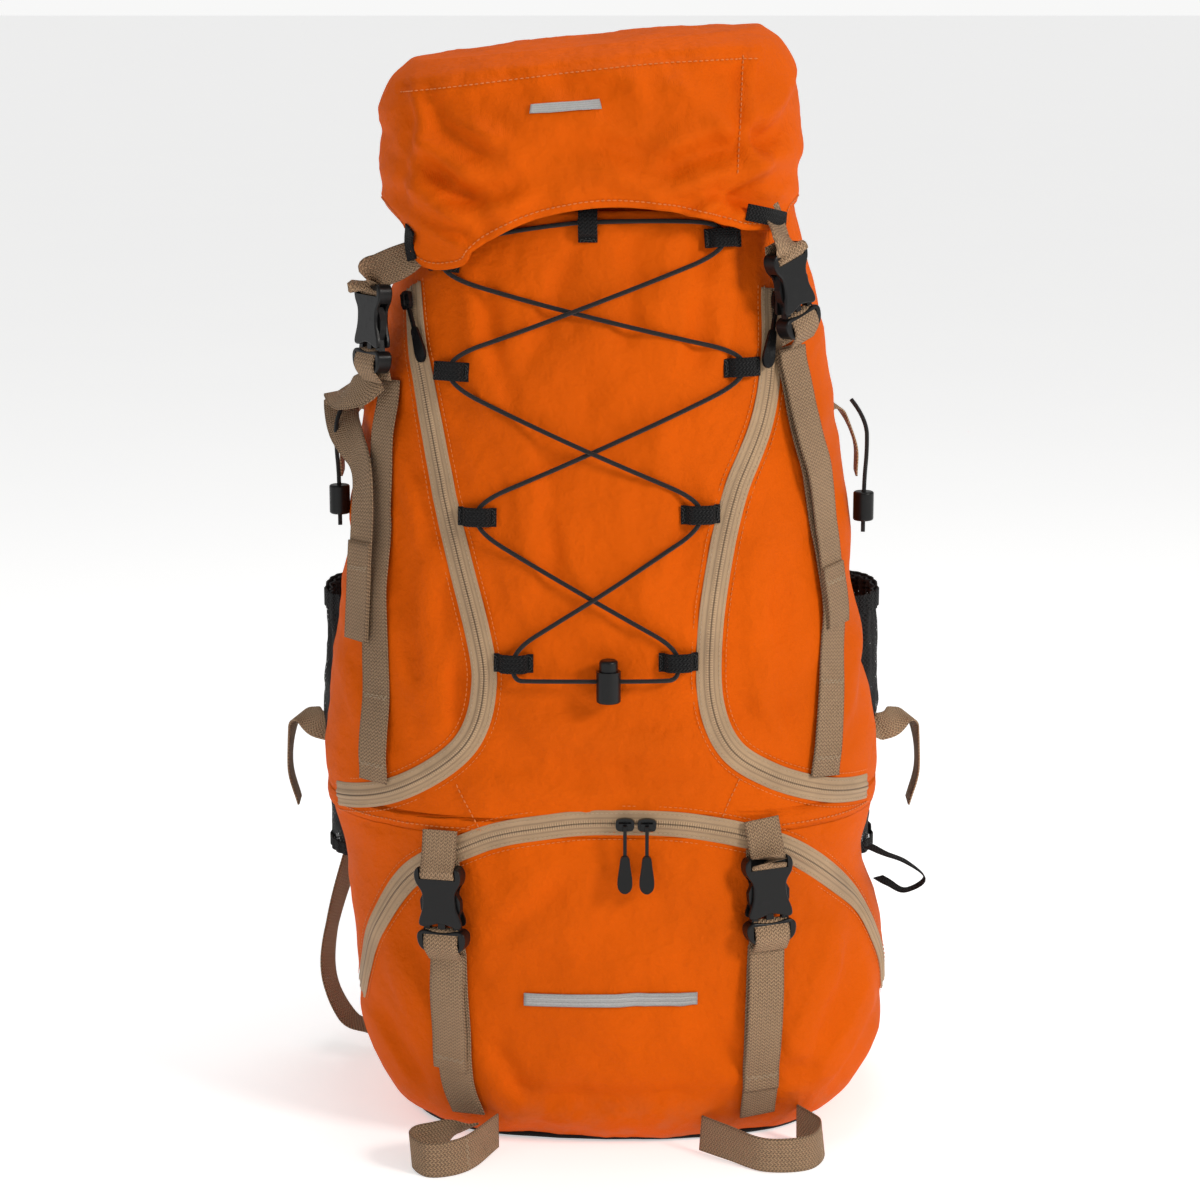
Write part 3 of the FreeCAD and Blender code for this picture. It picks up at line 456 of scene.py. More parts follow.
def ease(value, low, high):
    """0 below low, 1 above high, smooth between."""
    t = min(1.0, max(0.0, (value - low) / (high - low)))
    return t * t * (3 - 2 * t)


def nearest_in(paths):
    """Lookup of the distance to the closest of several (x, z) paths."""
    places = [p for path in paths for p in smooth_path(path, 160)]
    tree = KDTree(len(places))
    for k, p in enumerate(places):
        tree.insert((p[0], p[1], 0), k)
    tree.balance()
    return tree


UPPER_RUN = {
    "left": ((-141, 526), (-147, 470), (-151, 400), (-152, 340), (-155, 258)),
    "right": ((119, 550), (126, 514), (147, 406), (151, 345), (147, 262)),
}
UPPER_TAIL = {
    "left": ((-142, 525), (-157, 485), (-166, 450), (-166, 415), (-163, 352)),
    "right": ((119, 549), (128, 497), (143, 427), (153, 362)),
}
LOWER_TAIL = {
    "left": ((-104, 145), (-104, 100), (-104, 59)),
    "right": ((107, 151), (106, 100), (105, 47)),
}
LOWER_RUN = {
    "left": ((-104, 145), (-103, 100), (-100, 50), (-93, 24)),
    "right": ((107, 151), (106, 100), (105, 50), (104, 24)),
}
BUCKLE_BACK = (((-104, 149), (-107, 232)), ((107, 155), (103, 236)))

ZIPS = nearest_in(ZIP_PATH.values())
ARCH = nearest_in([ARCH_PATH])
STRAPS = nearest_in(list(UPPER_RUN.values()) + list(LOWER_RUN.values()) + list(BUCKLE_BACK))

PROUD = 1.3               # outward folds flatten off above this, under the cords and straps

# Folds of the cloth seen from the front: x, z of both ends, width and depth.
FRONT_FOLDS = (
    (-30, 628, -62, 560, 9, 2.2), (8, 634, -6, 560, 10, 1.8), (52, 630, 40, 545, 9, 2.0),
    (84, 615, 70, 540, 7, 1.6), (-88, 590, -72, 510, 7, 1.8), (-60, 500, -48, 400, 10, 1.5),
    (40, 500, 30, 400, 10, 1.4),
    (-46, 300, 52, 288, 12, 1.6), (-70, 262, 60, 256, 10, 1.4), (-150, 520, -128, 430, 8, 2.4),
    (-168, 440, -140, 330, 9, 2.6),
    (-120, 400, -112, 300, 9, 2.2), (-178, 330, -150, 268, 8, 2.4), (-104, 352, -118, 300, 7, 1.8),
    (146, 500, 122, 420, 8, 2.4), (166, 440, 140, 340, 9, 2.6), (100, 420, 108, 320, 9, 2.2),
    (178, 350, 150, 285, 8, 2.6), (92, 330, 120, 290, 7, 2.0), (-150, 150, -110, 60, 10, 2.8),
    (-168, 90, -140, 30, 8, 3.2), (186, 110, 150, 40, 9, 3.2),
    (160, 160, 130, 70, 10, 2.4), (-70, 30, 60, 24, 9, 2.4), (-60, 120, 20, 98, 14, 1.4),
    (70, 70, 130, 36, 9, 2.2), (-40, 210, -80, 170, 9, 1.6), (70, 205, 92, 160, 8, 1.8),
    (-90, 70, -60, 24, 8, 2.4),
)


def fold_height(x, z, folds):
    """Ridge with a valley beside it for every fold, fading towards its ends."""
    total = 0.0
    for x0, z0, x1, z1, width, depth in folds:
        dx, dz = x1 - x0, z1 - z0
        length = math.hypot(dx, dz)
        along = ((x - x0) * dx + (z - z0) * dz) / length
        if along < -20 or along > length + 20:
            continue
        across = ((z - z0) * dx - (x - x0) * dz) / length + 3.0 * math.sin(along / 23.0 + x0)
        if abs(across) > 4 * width:
            continue
        fade = ease(along, -20, 18) * (1 - ease(along, length - 18, length + 20))
        ridge = math.exp(-((across / width) ** 2)) - 0.75 * math.exp(-(((across - 1.7 * width) / width) ** 2))
        total += 1.5 * depth * fade * ridge
    return total


def crumple(x, z, seed=0.0):
    """Small uneven waviness of stuffed cloth."""
    broad = noise.noise(Vector((x / 62, z / 78, seed)))
    fine = noise.noise(Vector((x / 21 + 7, z / 30, seed + 3)))
    tiny = 1 - 2 * abs(noise.noise(Vector((x / 13, z / 19, seed + 9))))
    crease = 0.6 - 3.2 * abs(noise.noise(Vector(((x + 0.5 * z) / 46, (z - 0.4 * x) / 70, seed + 15))))
    return 2.3 * broad + 1.1 * fine + 0.5 * tiny + 1.2 * max(-1.0, crease)


def stuffing(x, z):
    """How far the cloth of the front stands out from the plain outline."""
    place = (x, z, 0)
    _, _, zip_gap = ZIPS.find(place)
    _, _, arch_gap = ARCH.find(place)
    _, _, strap = STRAPS.find(place)
    gap = min(zip_gap, arch_gap)
    run = x if arch_gap < zip_gap else z
    calm = 0.2 + 0.8 * ease(gap, 2, 26)
    pressed = 0.35 + 0.65 * ease(strap, 8, 30)
    swell = 2.4 * (1 - math.exp(-((gap / 20) ** 2))) - 1.2
    swell -= 1.8 * math.exp(-(((z - LOWER_TOP) / 6) ** 2)) * ease(arch_gap, 8, 22) * ease(zip_gap, 8, 22)
    pucker = 0.45 * math.sin(run / 4.5 + 2 * math.sin(run / 18)) * math.exp(-(((gap - 12) / 7) ** 2))
    loose = calm * (1.3 * fold_height(x, z, FRONT_FOLDS) + crumple(x, z) - 1.2)
    height = pressed * (swell + loose) + pucker - 0.9 * (1 - pressed)
    if height > PROUD:
        height = PROUD + 1 - math.exp(PROUD - height)
    return height


def half_width_at(z):
    return curve_value(LOWER_HALF_WIDTH if z < LOWER_TOP else OUTER_HALF_WIDTH, z)


def angle_at(x, z):
    """Angle round the front, 0 on the right side and pi on the left, where the outline has this x."""
    reach = max(-1.0, min(1.0, (x - curve_value(SWAY, z)) / half_width_at(z)))
    return math.acos(math.copysign(abs(reach) ** (FRONT_POWER / 2), reach))


def front_round(angle, z, lift=0.0, follow=1.0):
    """Point of the stuffed front at an angle and height, lifted off the cloth, and the outward direction."""
    half, sway, depth = half_width_at(z), curve_value(SWAY, z), curve_value(FRONT_DEPTH, z)
    share_x = math.copysign(abs(math.cos(angle)) ** (2 / FRONT_POWER), math.cos(angle))
    share_y = abs(math.sin(angle)) ** (2 / FRONT_POWER)
    slope_x = math.copysign(abs(share_x) ** (FRONT_POWER - 1), share_x) / half
    slope_y = -(share_y ** (FRONT_POWER - 1)) / depth
    grow = (half_width_at(z + 1) - half_width_at(z - 1)) / 2 if abs(z - LOWER_TOP) > 1 else 0.0
    lean = (curve_value(SWAY, z + 1) - curve_value(SWAY, z - 1)) / 2
    swell = (curve_value(FRONT_DEPTH, z + 1) - curve_value(FRONT_DEPTH, z - 1)) / 2
    slope_z = -slope_x * (share_x * grow + lean) + slope_y * swell * share_y
    outward = Vector((slope_x, slope_y, slope_z)).normalized()
    point = Vector((sway + share_x * half, -depth * share_y, z))
    return point + outward * (lift + follow * stuffing(point.x, z)), outward


def front_at(x, z, lift=0.0, follow=1.0):
    """The same for an (x, z) place seen from the front."""
    return front_round(angle_at(x, z), z, lift, follow)


# ================================================================ making pieces
def finish_piece(thing, paint, body, replaced=()):
    """Material and body of a piece that stands where it belongs."""
    thing.data.materials.clear()
    thing.data.materials.append(paint)
    if replaced:
        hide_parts(*replaced)
    if body:
        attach(thing, body)
    return thing


def mesh_piece(name, points, faces, across=None):
    """Smooth mesh object from points in millimetres; across holds one (u, v) in millimetres per point."""
    mesh = bpy.data.meshes.new(name)
    mesh.from_pydata([Vector(p) * MM for p in points], [], faces)
    if across:
        layer = mesh.uv_layers.new(name="weave")
        for loop in mesh.loops:
            u, v = across[loop.vertex_index]
            layer.data[loop.index].uv = (u * MM, v * MM)
    mesh.shade_smooth()
    thing = bpy.data.objects.new(name, mesh)
    scene.collection.objects.link(thing)
    return thing


def outward_faces(thing):
    shape = bmesh.new()
    shape.from_mesh(thing.data)
    bmesh.ops.recalc_face_normals(shape, faces=shape.faces)
    shape.to_mesh(thing.data)
    shape.free()
    return thing


def bake(thing):
    """Applies every modifier of a piece."""
    bpy.context.view_layer.update()
    settled = bpy.data.meshes.new_from_object(thing.evaluated_get(bpy.context.evaluated_depsgraph_get()))
    thing.modifiers.clear()
    thing.data = settled
    return thing


def thicken(thing, thickness, inward=True):
    modifier = thing.modifiers.new("cloth", "SOLIDIFY")
    modifier.thickness = thickness * MM
    modifier.offset = -1 if inward else 0
    modifier.use_even_offset = False
    return bake(thing)


def grid_faces(rows, columns, closed=False):
    faces = []
    for r in range(rows - 1):
        for c in range(columns if closed else columns - 1):
            d = (c + 1) % columns
            faces.append((r * columns + c, r * columns + d, (r + 1) * columns + d, (r + 1) * columns + c))
    return faces


def band(name, places, outwards, profile):
    """Sweeps a closed (across, height) profile along a path; v runs along it and u across it."""
    points = []
    flats = []
    reach = 0.0
    last = len(places) - 1
    for k, (place, outward) in enumerate(zip(places, outwards)):
        ahead = places[min(k + 1, last)] - places[max(k - 1, 0)]
        side = ahead.cross(outward).normalized()
        up = side.cross(ahead).normalized()
        if up.dot(outward) < 0:
            up.negate()
            side.negate()
        if k:
            reach += (place - places[k - 1]).length
        for u, h in profile:
            points.append(place + side * u + up * h)
            flats.append((u, reach))
    columns = len(profile)
    faces = grid_faces(len(places), columns, closed=True)
    faces.append(tuple(range(columns)))
    faces.append(tuple(range(len(points) - 1, len(points) - 1 - columns, -1)))
    return outward_faces(mesh_piece(name, points, faces, flats))


def flat_profile(width, thick, bottom=0.0, columns=6):
    """Thin band section with softened edges."""
    half = width / 2
    soft = min(0.5, thick / 2)
    top = [(-half + width * k / columns, bottom + thick) for k in range(1, columns)]
    low = [(half - width * k / columns, bottom) for k in range(1, columns)]
    high = bottom + thick
    left = [(-half + soft, bottom), (-half, bottom + soft), (-half, high - soft), (-half + soft, high)]
    right = [(half - soft, high), (half, high - soft), (half, bottom + soft), (half - soft, bottom)]
    return left + top + right + low


def on_front(path, count, lift, follow=1.0):
    """Points and outward directions above the stuffed front, along an (x, z) path."""
    pairs = [front_at(p[0], p[1], lift, follow) for p in smooth_path(path, count)]
    return [p for p, _ in pairs], [n for _, n in pairs]


def turning(directions, count):
    """Unit directions that turn evenly through the listed ones."""
    looks = []
    for k in range(count):
        t = k * (len(directions) - 1) / (count - 1)
        i = min(int(t), len(directions) - 2)
        looks.append(Vector(directions[i]).lerp(Vector(directions[i + 1]), t - i).normalized())
    return looks


# ================================================================ stitches, by geometry nodes
def stitch_tree(name, paint, spacing, radius, length):
    """Node group that lays small rounded stitches along every edge path of a mesh."""
    tree = bpy.data.node_groups.new(name, "GeometryNodeTree")
    tree.interface.new_socket("Path", in_out="INPUT", socket_type="NodeSocketGeometry")
    for label, value in (("Spacing", spacing), ("Radius", radius), ("Length", length)):
        dial = tree.interface.new_socket(label, in_out="INPUT", socket_type="NodeSocketFloat")
        dial.default_value = value * MM
    tree.interface.new_socket("Stitches", in_out="OUTPUT", socket_type="NodeSocketGeometry")
    add = tree.nodes.new
    join = tree.links.new
    start = add("NodeGroupInput")
    end = add("NodeGroupOutput")
    curve = add("GeometryNodeMeshToCurve")
    spots = add("GeometryNodeCurveToPoints")
    spots.mode = "LENGTH"
    ball = add("GeometryNodeMeshUVSphere")
    ball.inputs["Segments"].default_value = 6
    ball.inputs["Rings"].default_value = 5
    ball.inputs["Radius"].default_value = 1.0
    size = add("ShaderNodeCombineXYZ")
    lay = add("GeometryNodeInstanceOnPoints")
    solid = add("GeometryNodeRealizeInstances")
    smooth = add("GeometryNodeSetShadeSmooth")
    colour = add("GeometryNodeSetMaterial")
    colour.inputs["Material"].default_value = paint
    join(start.outputs["Path"], curve.inputs[0])
    join(curve.outputs[0], spots.inputs["Curve"])
    join(start.outputs["Spacing"], spots.inputs["Length"])
    join(start.outputs["Radius"], size.inputs["X"])
    join(start.outputs["Radius"], size.inputs["Y"])
    join(start.outputs["Length"], size.inputs["Z"])
    join(spots.outputs["Points"], lay.inputs["Points"])
    join(spots.outputs["Rotation"], lay.inputs["Rotation"])
    join(ball.outputs["Mesh"], lay.inputs["Instance"])
    join(size.outputs[0], lay.inputs["Scale"])
    join(lay.outputs[0], solid.inputs[0])
    join(solid.outputs[0], smooth.inputs[0])
    join(smooth.outputs[0], colour.inputs[0])
    join(colour.outputs[0], end.inputs[0])
    return tree


def stitches(name, paths, paint, body, spacing=3.6, radius=0.46, length=1.35):
    """One mesh of stitches along several paths of points in millimetres."""
    points = []
    edges = []
    for path in paths:
        edges += [(len(points) + k, len(points) + k + 1) for k in range(len(path) - 1)]
        points += [Vector(p) * MM for p in path]
    mesh = bpy.data.meshes.new(name)
    mesh.from_pydata(points, edges, [])
    thing = bpy.data.objects.new(name, mesh)
    scene.collection.objects.link(thing)
    modifier = thing.modifiers.new("stitch", "NODES")
    modifier.node_group = stitch_tree(name, paint, spacing, radius, length)
    bake(thing)
    return finish_piece(thing, paint, body)


def beside(places, outwards, offset, lift):
    """The path moved sideways by offset and off the surface by lift."""
    moved = []
    last = len(places) - 1
    for k, (place, outward) in enumerate(zip(places, outwards)):
        ahead = places[min(k + 1, last)] - places[max(k - 1, 0)]
        side = ahead.cross(outward).normalized()
        moved.append(place + side * offset + outward * lift)
    return moved


def box_stitch(places, outwards, at, width, lift, zigzag=5):
    """Zigzag bar across a band at index at."""
    place, outward = places[at], outwards[at]
    ahead = (places[min(at + 1, len(places) - 1)] - places[max(at - 1, 0)]).normalized()
    side = ahead.cross(outward).normalized()
    path = []
    for k in range(2 * zigzag + 1):
        sideways = width * (k / (2 * zigzag) - 0.5)
        path.append(place + side * sideways + ahead * (1.4 if k % 2 else -1.4) + outward * lift)
    return path


# ================================================================ cords
LOOPS = {
    "left": ((-104, 605), (-100, 536), (-83, 443), (-60, 347)),
    "right": ((76, 622), (89, 539), (62, 445), (48, 348)),
}
TOP_LOOP = (-11, 633)
CORD = 3.0


def cord_spline(name, route, paint, body, diameter=CORD):
    """Round cord whose smooth line has the route's points as its control points."""
    data = bpy.data.curves.new(name, "CURVE")
    data.dimensions = "3D"
    data.resolution_u = 10
    spline = data.splines.new("NURBS")
    spline.points.add(len(route) - 1)
    for point, place in zip(spline.points, route):
        point.co = (*(Vector(place) * MM), 1.0)
    spline.order_u = 3
    spline.use_endpoint_u = True
    thing = bpy.data.objects.new(name, data)
    scene.collection.objects.link(thing)
    bare = bpy.data.meshes.new_from_object(thing)
    length = sum((bare.vertices[a].co - bare.vertices[b].co).length for a, b in (e.vertices for e in bare.edges))
    data.bevel_depth = diameter / 2 * MM
    data.bevel_resolution = 3
    finish_piece(thing, paint, body)
    return thing, length


# In metres, worked out beforehand over the curved front: points at both ends, at every loop and at the lock,
# and three sampled on each run between loops, at 1/4, 1/2 and 3/4.
LACING_ROUTE = (
    (-0.0141, -0.1206, 0.6334), (-0.0561, -0.1172, 0.6287), (-0.1065, -0.0939, 0.6149),
    (-0.1063, -0.0996, 0.5969), (-0.0567, -0.1238, 0.5847), (-0.0075, -0.1295, 0.5726),
    (0.0414, -0.1282, 0.5606), (0.0906, -0.1154, 0.5485), (0.0905, -0.1179, 0.5305),
    (0.0467, -0.1328, 0.511), (0.003, -0.1375, 0.4914), (-0.0404, -0.1373, 0.4719),
    (-0.084, -0.1305, 0.4523), (-0.084, -0.1317, 0.4342), (-0.0508, -0.1398, 0.415),
    (-0.0176, -0.1429, 0.3958), (0.0154, -0.143, 0.3765), (0.0484, -0.1405, 0.3571),
    (0.0484, -0.1412, 0.3371), (0.0356, -0.1483, 0.3373), (-0.0478, -0.148, 0.3373),
    (-0.0605, -0.1407, 0.3361), (-0.0605, -0.14, 0.3561), (-0.0297, -0.1429, 0.3762),
    (0.001, -0.1468, 0.3964), (0.0318, -0.1405, 0.4163), (0.0627, -0.1344, 0.4362),
    (0.0627, -0.1332, 0.4543), (0.0217, -0.1378, 0.4726), (-0.0192, -0.1412, 0.4912),
    (-0.0603, -0.1321, 0.5092), (-0.1016, -0.1165, 0.5275), (-0.1017, -0.1135, 0.5456),
    (-0.0569, -0.1266, 0.5626), (-0.0121, -0.1325, 0.5801), (0.0325, -0.1251, 0.5966),
    (0.0775, -0.1109, 0.6136), (0.0777, -0.1076, 0.6317), (0.0356, -0.1197, 0.6346),
    (-0.008, -0.1207, 0.6334),
)


def add_lacing():
    route = [Vector(p) / MM for p in LACING_ROUTE]
    cord, length = cord_spline("lacing", route, CORD_PAINT, "pack")
    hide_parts("lacing_cord")


TOGGLE_PLACE = {"left": (-181, -34, 442), "right": (176, -38, 438)}


def add_pole_loops():
    for name, side in SIDES:
        x, y, z = TOGGLE_PLACE[name]
        route = ((x - side * 9, y + 6, z + 68), (x + side * 1, y - 3, z + 56), (x + side * 1.5, y - 4, z + 34),
                 (x, y, z + 12), (x, y, z - 22))
        cord, length = cord_spline("pole_loop_" + name, route, CORD_PAINT, "pack")
        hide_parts("pole_loops")
        tuple(Vector(route[0]) * MM)


# ================================================================ sewn panels
PLATE = 2.2                # cloth thickness with its turned seams
ROW = 3.2                  # spacing of mesh rows


def heights(low, high, step=ROW):
    count = max(2, round((high - low) / step) + 1)
    return [low + (high - low) * k / (count - 1) for k in range(count)]


def panel(name, rows, columns, place, body, replaced=(), paint=None, thick=PLATE):
    """Cloth panel: place(share across, height) gives its outer face, going round from left to right."""
    points = [place(c / (columns - 1), z) for z in rows for c in range(columns)]
    thing = mesh_piece(name, points, grid_faces(len(rows), columns))
    thicken(thing, thick)
    return finish_piece(thing, paint or CLOTH, body, replaced)


ZIP_LINE = {side: smooth_path(ZIP_PATH[side], 240) for side in ZIP_PATH}


def zip_x(side, z):
    """Where the pocket zip of a side crosses a height; straight up above its end."""
    line = ZIP_LINE[side]
    if z >= line[0][1]:
        return line[0][0] * (1 - 0.0006 * (z - line[0][1]))
    for a, b in zip(line, line[1:]):
        if a[1] >= z >= b[1]:
            share = (a[1] - z) / max(1e-6, a[1] - b[1])
            return a[0] + (b[0] - a[0]) * share
    return line[-1][0]


SIDE_SEAM_Y = -10.0
REAR_SEAM_Y = 92.0


def side_angle(side, z):
    share = (-SIDE_SEAM_Y / curve_value(FRONT_DEPTH, z)) ** (FRONT_POWER / 2)
    angle = math.asin(share)
    return angle if side == RIGHT else math.pi - angle


def zip_angle(name, side, z):
    low = ZIP_PATH[name][-1][1]
    if z < low:
        return side_angle(side, z)
    angle = angle_at(zip_x(name, z), z)
    edge = side_angle(side, z)
    return max(angle, edge + 0.02) if side == RIGHT else min(angle, edge - 0.02)


def centre_place(share, z):
    left, right = zip_angle("left", LEFT, z), zip_angle("right", RIGHT, z)
    return front_round(left + (right - left) * share, z)[0]


def pocket_place(name, side):
    def place(share, z):
        outer, inner = side_angle(side, z), zip_angle(name, side, z)
        start, end = (inner, outer) if side == RIGHT else (outer, inner)
        return front_round(start + (end - start) * share, z)[0]
    return place


def side_x(y, z):
    """Half width of the body at a depth: full at the pocket's back edge, then in to the sewn core."""
    depth, power = (curve_value(FRONT_DEPTH, z), FRONT_POWER) if y < 0 else (REAR_DEPTH, REAR_POWER)
    share = (1 - min(0.999, abs(y) / depth) ** power) ** (1 / power)
    settle = ease(y, SIDE_SEAM_Y, 36)
    outer, core = curve_value(OUTER_HALF_WIDTH, z), curve_value(CORE_HALF_WIDTH, z) - 1.2
    return share * (outer * (1 - settle) + core * settle)


def side_place(side):
    def place(share, z):
        along = share if side == RIGHT else 1 - share
        y = SIDE_SEAM_Y + (REAR_SEAM_Y - SIDE_SEAM_Y) * along
        inset = stuffing(curve_value(SWAY, z) + side * half_width_at(z), z) * (1 - ease(y, -10, 20))
        ripple = 0.9 * crumple(y + 300, z, 4.0) * ease(y, -10, 20)
        return Vector((curve_value(SWAY, z) + side * (side_x(y, z) + inset + ripple), y, z))
    return place


def back_place(share, z):
    edge = side_x(REAR_SEAM_Y, z)
    angle = math.pi * share
    x = curve_value(SWAY, z) + edge * math.cos(angle)
    bulge = (REAR_DEPTH - 1.2 - REAR_SEAM_Y) * math.sin(angle) ** 0.35
    return Vector((x, REAR_SEAM_Y + bulge + 0.4 * crumple(x + 600, z, 2.0) - 0.8 * math.sin(angle), z))


def add_main_body():
    rows = heights(LOWER_TOP + 0.3, MAIN_TOP)
    panel("centre_panel", rows, 96, centre_place, "pack", replaced=("main_front",))
    low = ZIP_PATH["left"][-1][1]
    for name, side in SIDES:
        panel("front_pocket_" + name, heights(low, MAIN_TOP, 2.8), 56, pocket_place(name, side), "pack",
              replaced=("pocket_" + name,))
        panel("side_panel_" + name, rows, 34, side_place(side), "pack", replaced=("main_side_" + name,))
    panel("back_panel", rows, 70, back_place, "pack", replaced=("main_back",))


def ring_piece(name, rows, columns, place, body, replaced, paint=None, thick=None, caps=False):
    """Closed ring of cloth round the bag; place(angle, row) with the angle going round from the left side."""
    points = [place(2 * math.pi * c / columns, row) for row in rows for c in range(columns)]
    faces = grid_faces(len(rows), columns, closed=True)
    if caps:
        faces.append(tuple(reversed(range(columns))))
        faces.append(tuple(range(len(points) - columns, len(points))))
    thing = mesh_piece(name, points, faces)
    if thick:
        thicken(thing, thick)
    return finish_piece(thing, paint or CLOTH, body, replaced)


def lower_place(angle, z):
    """Outer face of the lower compartment; the angle runs from the left side across the front and round."""
    turn = math.pi - angle
    if angle <= math.pi:
        return front_round(turn, z)[0]
    half, sway = half_width_at(z), curve_value(SWAY, z)
    x = half * math.copysign(abs(math.cos(angle)) ** (2 / REAR_POWER), -math.cos(angle))
    y = REAR_DEPTH * abs(math.sin(angle)) ** (2 / REAR_POWER)
    edge = stuffing(sway + math.copysign(half, x), z)
    swell = edge * (1 - ease(y, 0, 30)) + 0.7 * crumple(x + 900, z + y, 1.0) * ease(y, 0, 30)
    shrink = 1 + swell / half
    return Vector((sway + x * shrink, y + min(0.0, swell) * ease(y, 0, 90), z))


def add_lower_body():
    rows = heights(4.0, LOWER_TOP - 1.6, 2.8)
    ring_piece("lower_compartment", rows + [LOWER_TOP], 330, lower_place, "pack",
               ("lower_bag",), caps=True)

    def base_place(angle, row):
        inset, z = row
        edge = lower_place(angle, 4.0)
        middle = Vector((curve_value(SWAY, 4), 0, 0))
        out = Vector((edge.x, edge.y, 0)) - middle
        place = middle + out * ((out.length - inset) / out.length)
        return Vector((place.x, place.y, z))
    rows = [(60, 0.2), (12, 0.2), (4, 0.3), (1.2, 1.2), (0.4, 3.0), (0.8, 4.6), (3.0, 5.0)]
    ring_piece("base_binding", rows, 220, base_place, "pack", ("base_panel",), paint=DARK,
               caps=True)


# ================================================================ lid
LID_POWER = 3.0
LID_TILT = 0.095           # the filled lid stands higher on the right
LID_SWAY = ((600, -5), (640, -9), (700, -12), (744, -13))
LID_HALF_WIDTH = ((600, 136), (640, 137), (680, 139), (715, 137), (735, 130), (744, 118))
LID_FRONT_DEPTH = ((600, 137), (640, 138), (680, 137), (715, 131), (735, 120), (744, 98))
LID_REAR_DEPTH = ((600, 110), (640, 110), (680, 112), (715, 108), (735, 97), (744, 74))
HEM = ((-150, 644), (-136, 632), (-127, 605), (-102, 604), (-80, 620), (-45, 636), (-3, 644), (42, 641),
       (78, 632), (92, 628), (116, 629), (126, 640), (150, 646))
LID_SEAM = ((-131, 728), (-60, 731), (12, 733), (60, 732), (96, 730))
LID_FOLDS = (
    (88, 728, 84, 668, 4, -1.6), (-128, 716, -126, 650, 6, -1.6), (100, 700, 30, 676, 9, 3.0),
    (112, 676, 40, 652, 8, 3.4), (96, 662, 58, 640, 6, 2.8), (118, 720, 96, 690, 7, 2.4),
    (-120, 690, -76, 664, 9, 3.0), (-128, 658, -88, 630, 8, 3.4), (-100, 640, -50, 650, 7, 2.4),
    (-20, 668, 40, 662, 9, 2.2), (-60, 700, 0, 694, 12, 1.8), (30, 716, 80, 706, 8, 1.8),
    (-110, 628, -86, 612, 5, 2.4), (-118, 724, -112, 700, 5, 1.6), (-40, 722, -30, 706, 6, 1.3),
    (20, 724, 26, 704, 6, 1.3), (60, 700, 100, 660, 6, 2.2), (-96, 700, -60, 684, 7, 1.8),
    (70, 648, 108, 636, 5, 2.2), (-126, 676, -96, 650, 6, 2.6),
)
LID_EDGE = nearest_in([LID_SEAM])
HEM_LINE = smooth_path(HEM, 200)
LID_RIM = 744.0            # height of the lid's rim, where its top closes over


def lid_stuffing(x, z, front):
    _, _, seam = LID_EDGE.find((x, z, 0))
    swell = 1.6 * math.sin(math.pi * ease(z, 600, 744)) - 1.7 * math.exp(-((seam / 2.4) ** 2)) * front
    swell += 0.9 * math.exp(-(((seam - 4.6) / 2.6) ** 2)) * front
    swell += 0.5 * math.sin(x / 4.1 + 2 * math.sin(x / 17)) * math.exp(-((seam / 12) ** 2)) * front
    near_hem = math.exp(-(((z - 634) / 18) ** 2))
    gather = 2.2 * math.sin((z + 0.4 * x) / 4.6) * near_hem * ease(abs(x + 9), 84, 124)
    return swell + gather + 1.4 * front * fold_height(x, z, LID_FOLDS) + 1.5 * crumple(x + 200, z * 1.3, 6.0)


def lid_round(angle, z, lift=0.0):
    """Outer face of the lid; the angle runs from the left side across the front and round."""
    half, sway = curve_value(LID_HALF_WIDTH, z), curve_value(LID_SWAY, z)
    front = angle <= math.pi
    power = LID_POWER if front else REAR_POWER
    depth = curve_value(LID_FRONT_DEPTH if front else LID_REAR_DEPTH, z)
    share_x = -math.copysign(abs(math.cos(angle)) ** (2 / power), math.cos(angle))
    share_y = abs(math.sin(angle)) ** (2 / power) * (-1 if front else 1)
    out = Vector((math.copysign(abs(share_x) ** (power - 1), share_x) / half,
                  math.copysign(abs(share_y) ** (power - 1), share_y) / depth, 0)).normalized()
    x, y = sway + share_x * half, share_y * depth
    facing = ease(-y, -10, 60)
    tilt = LID_TILT * (x - sway) * ease(z, 640, 744)
    return Vector((x, y, z + tilt)) + out * (lift + lid_stuffing(x, z, facing)), out


def hem_height(angle):
    """Height of the lid's lower edge: an arch in front, level behind."""
    x = lid_round(angle, 634)[0].x
    if angle > math.pi:
        return 646.0
    for a, b in zip(HEM_LINE, HEM_LINE[1:]):
        if a[0] <= x <= b[0]:
            return a[1] + (b[1] - a[1]) * (x - a[0]) / max(1e-6, b[0] - a[0])
    return 645.0


def lid_place(angle, row):
    """Rows 0 to 1 climb from the hem to the rim; 1 to 2 close the top."""
    if row <= 1:
        low = hem_height(angle)
        return lid_round(angle, low + (LID_RIM - low) * row)[0]
    rim = lid_round(angle, LID_RIM)[0]
    middle = Vector((-13, -4, rim.z))
    share = row - 1
    place = rim.lerp(middle, share)
    rumple = 0.9 * crumple(place.x, place.y + 40, 5.0) * ease(share, 0, 0.2)
    dome = 3.5 * math.sin(math.pi / 2 * ease(share, 0, 0.7)) + rumple
    return Vector((place.x, place.y, LID_RIM + LID_TILT * (place.x + 13) + dome))


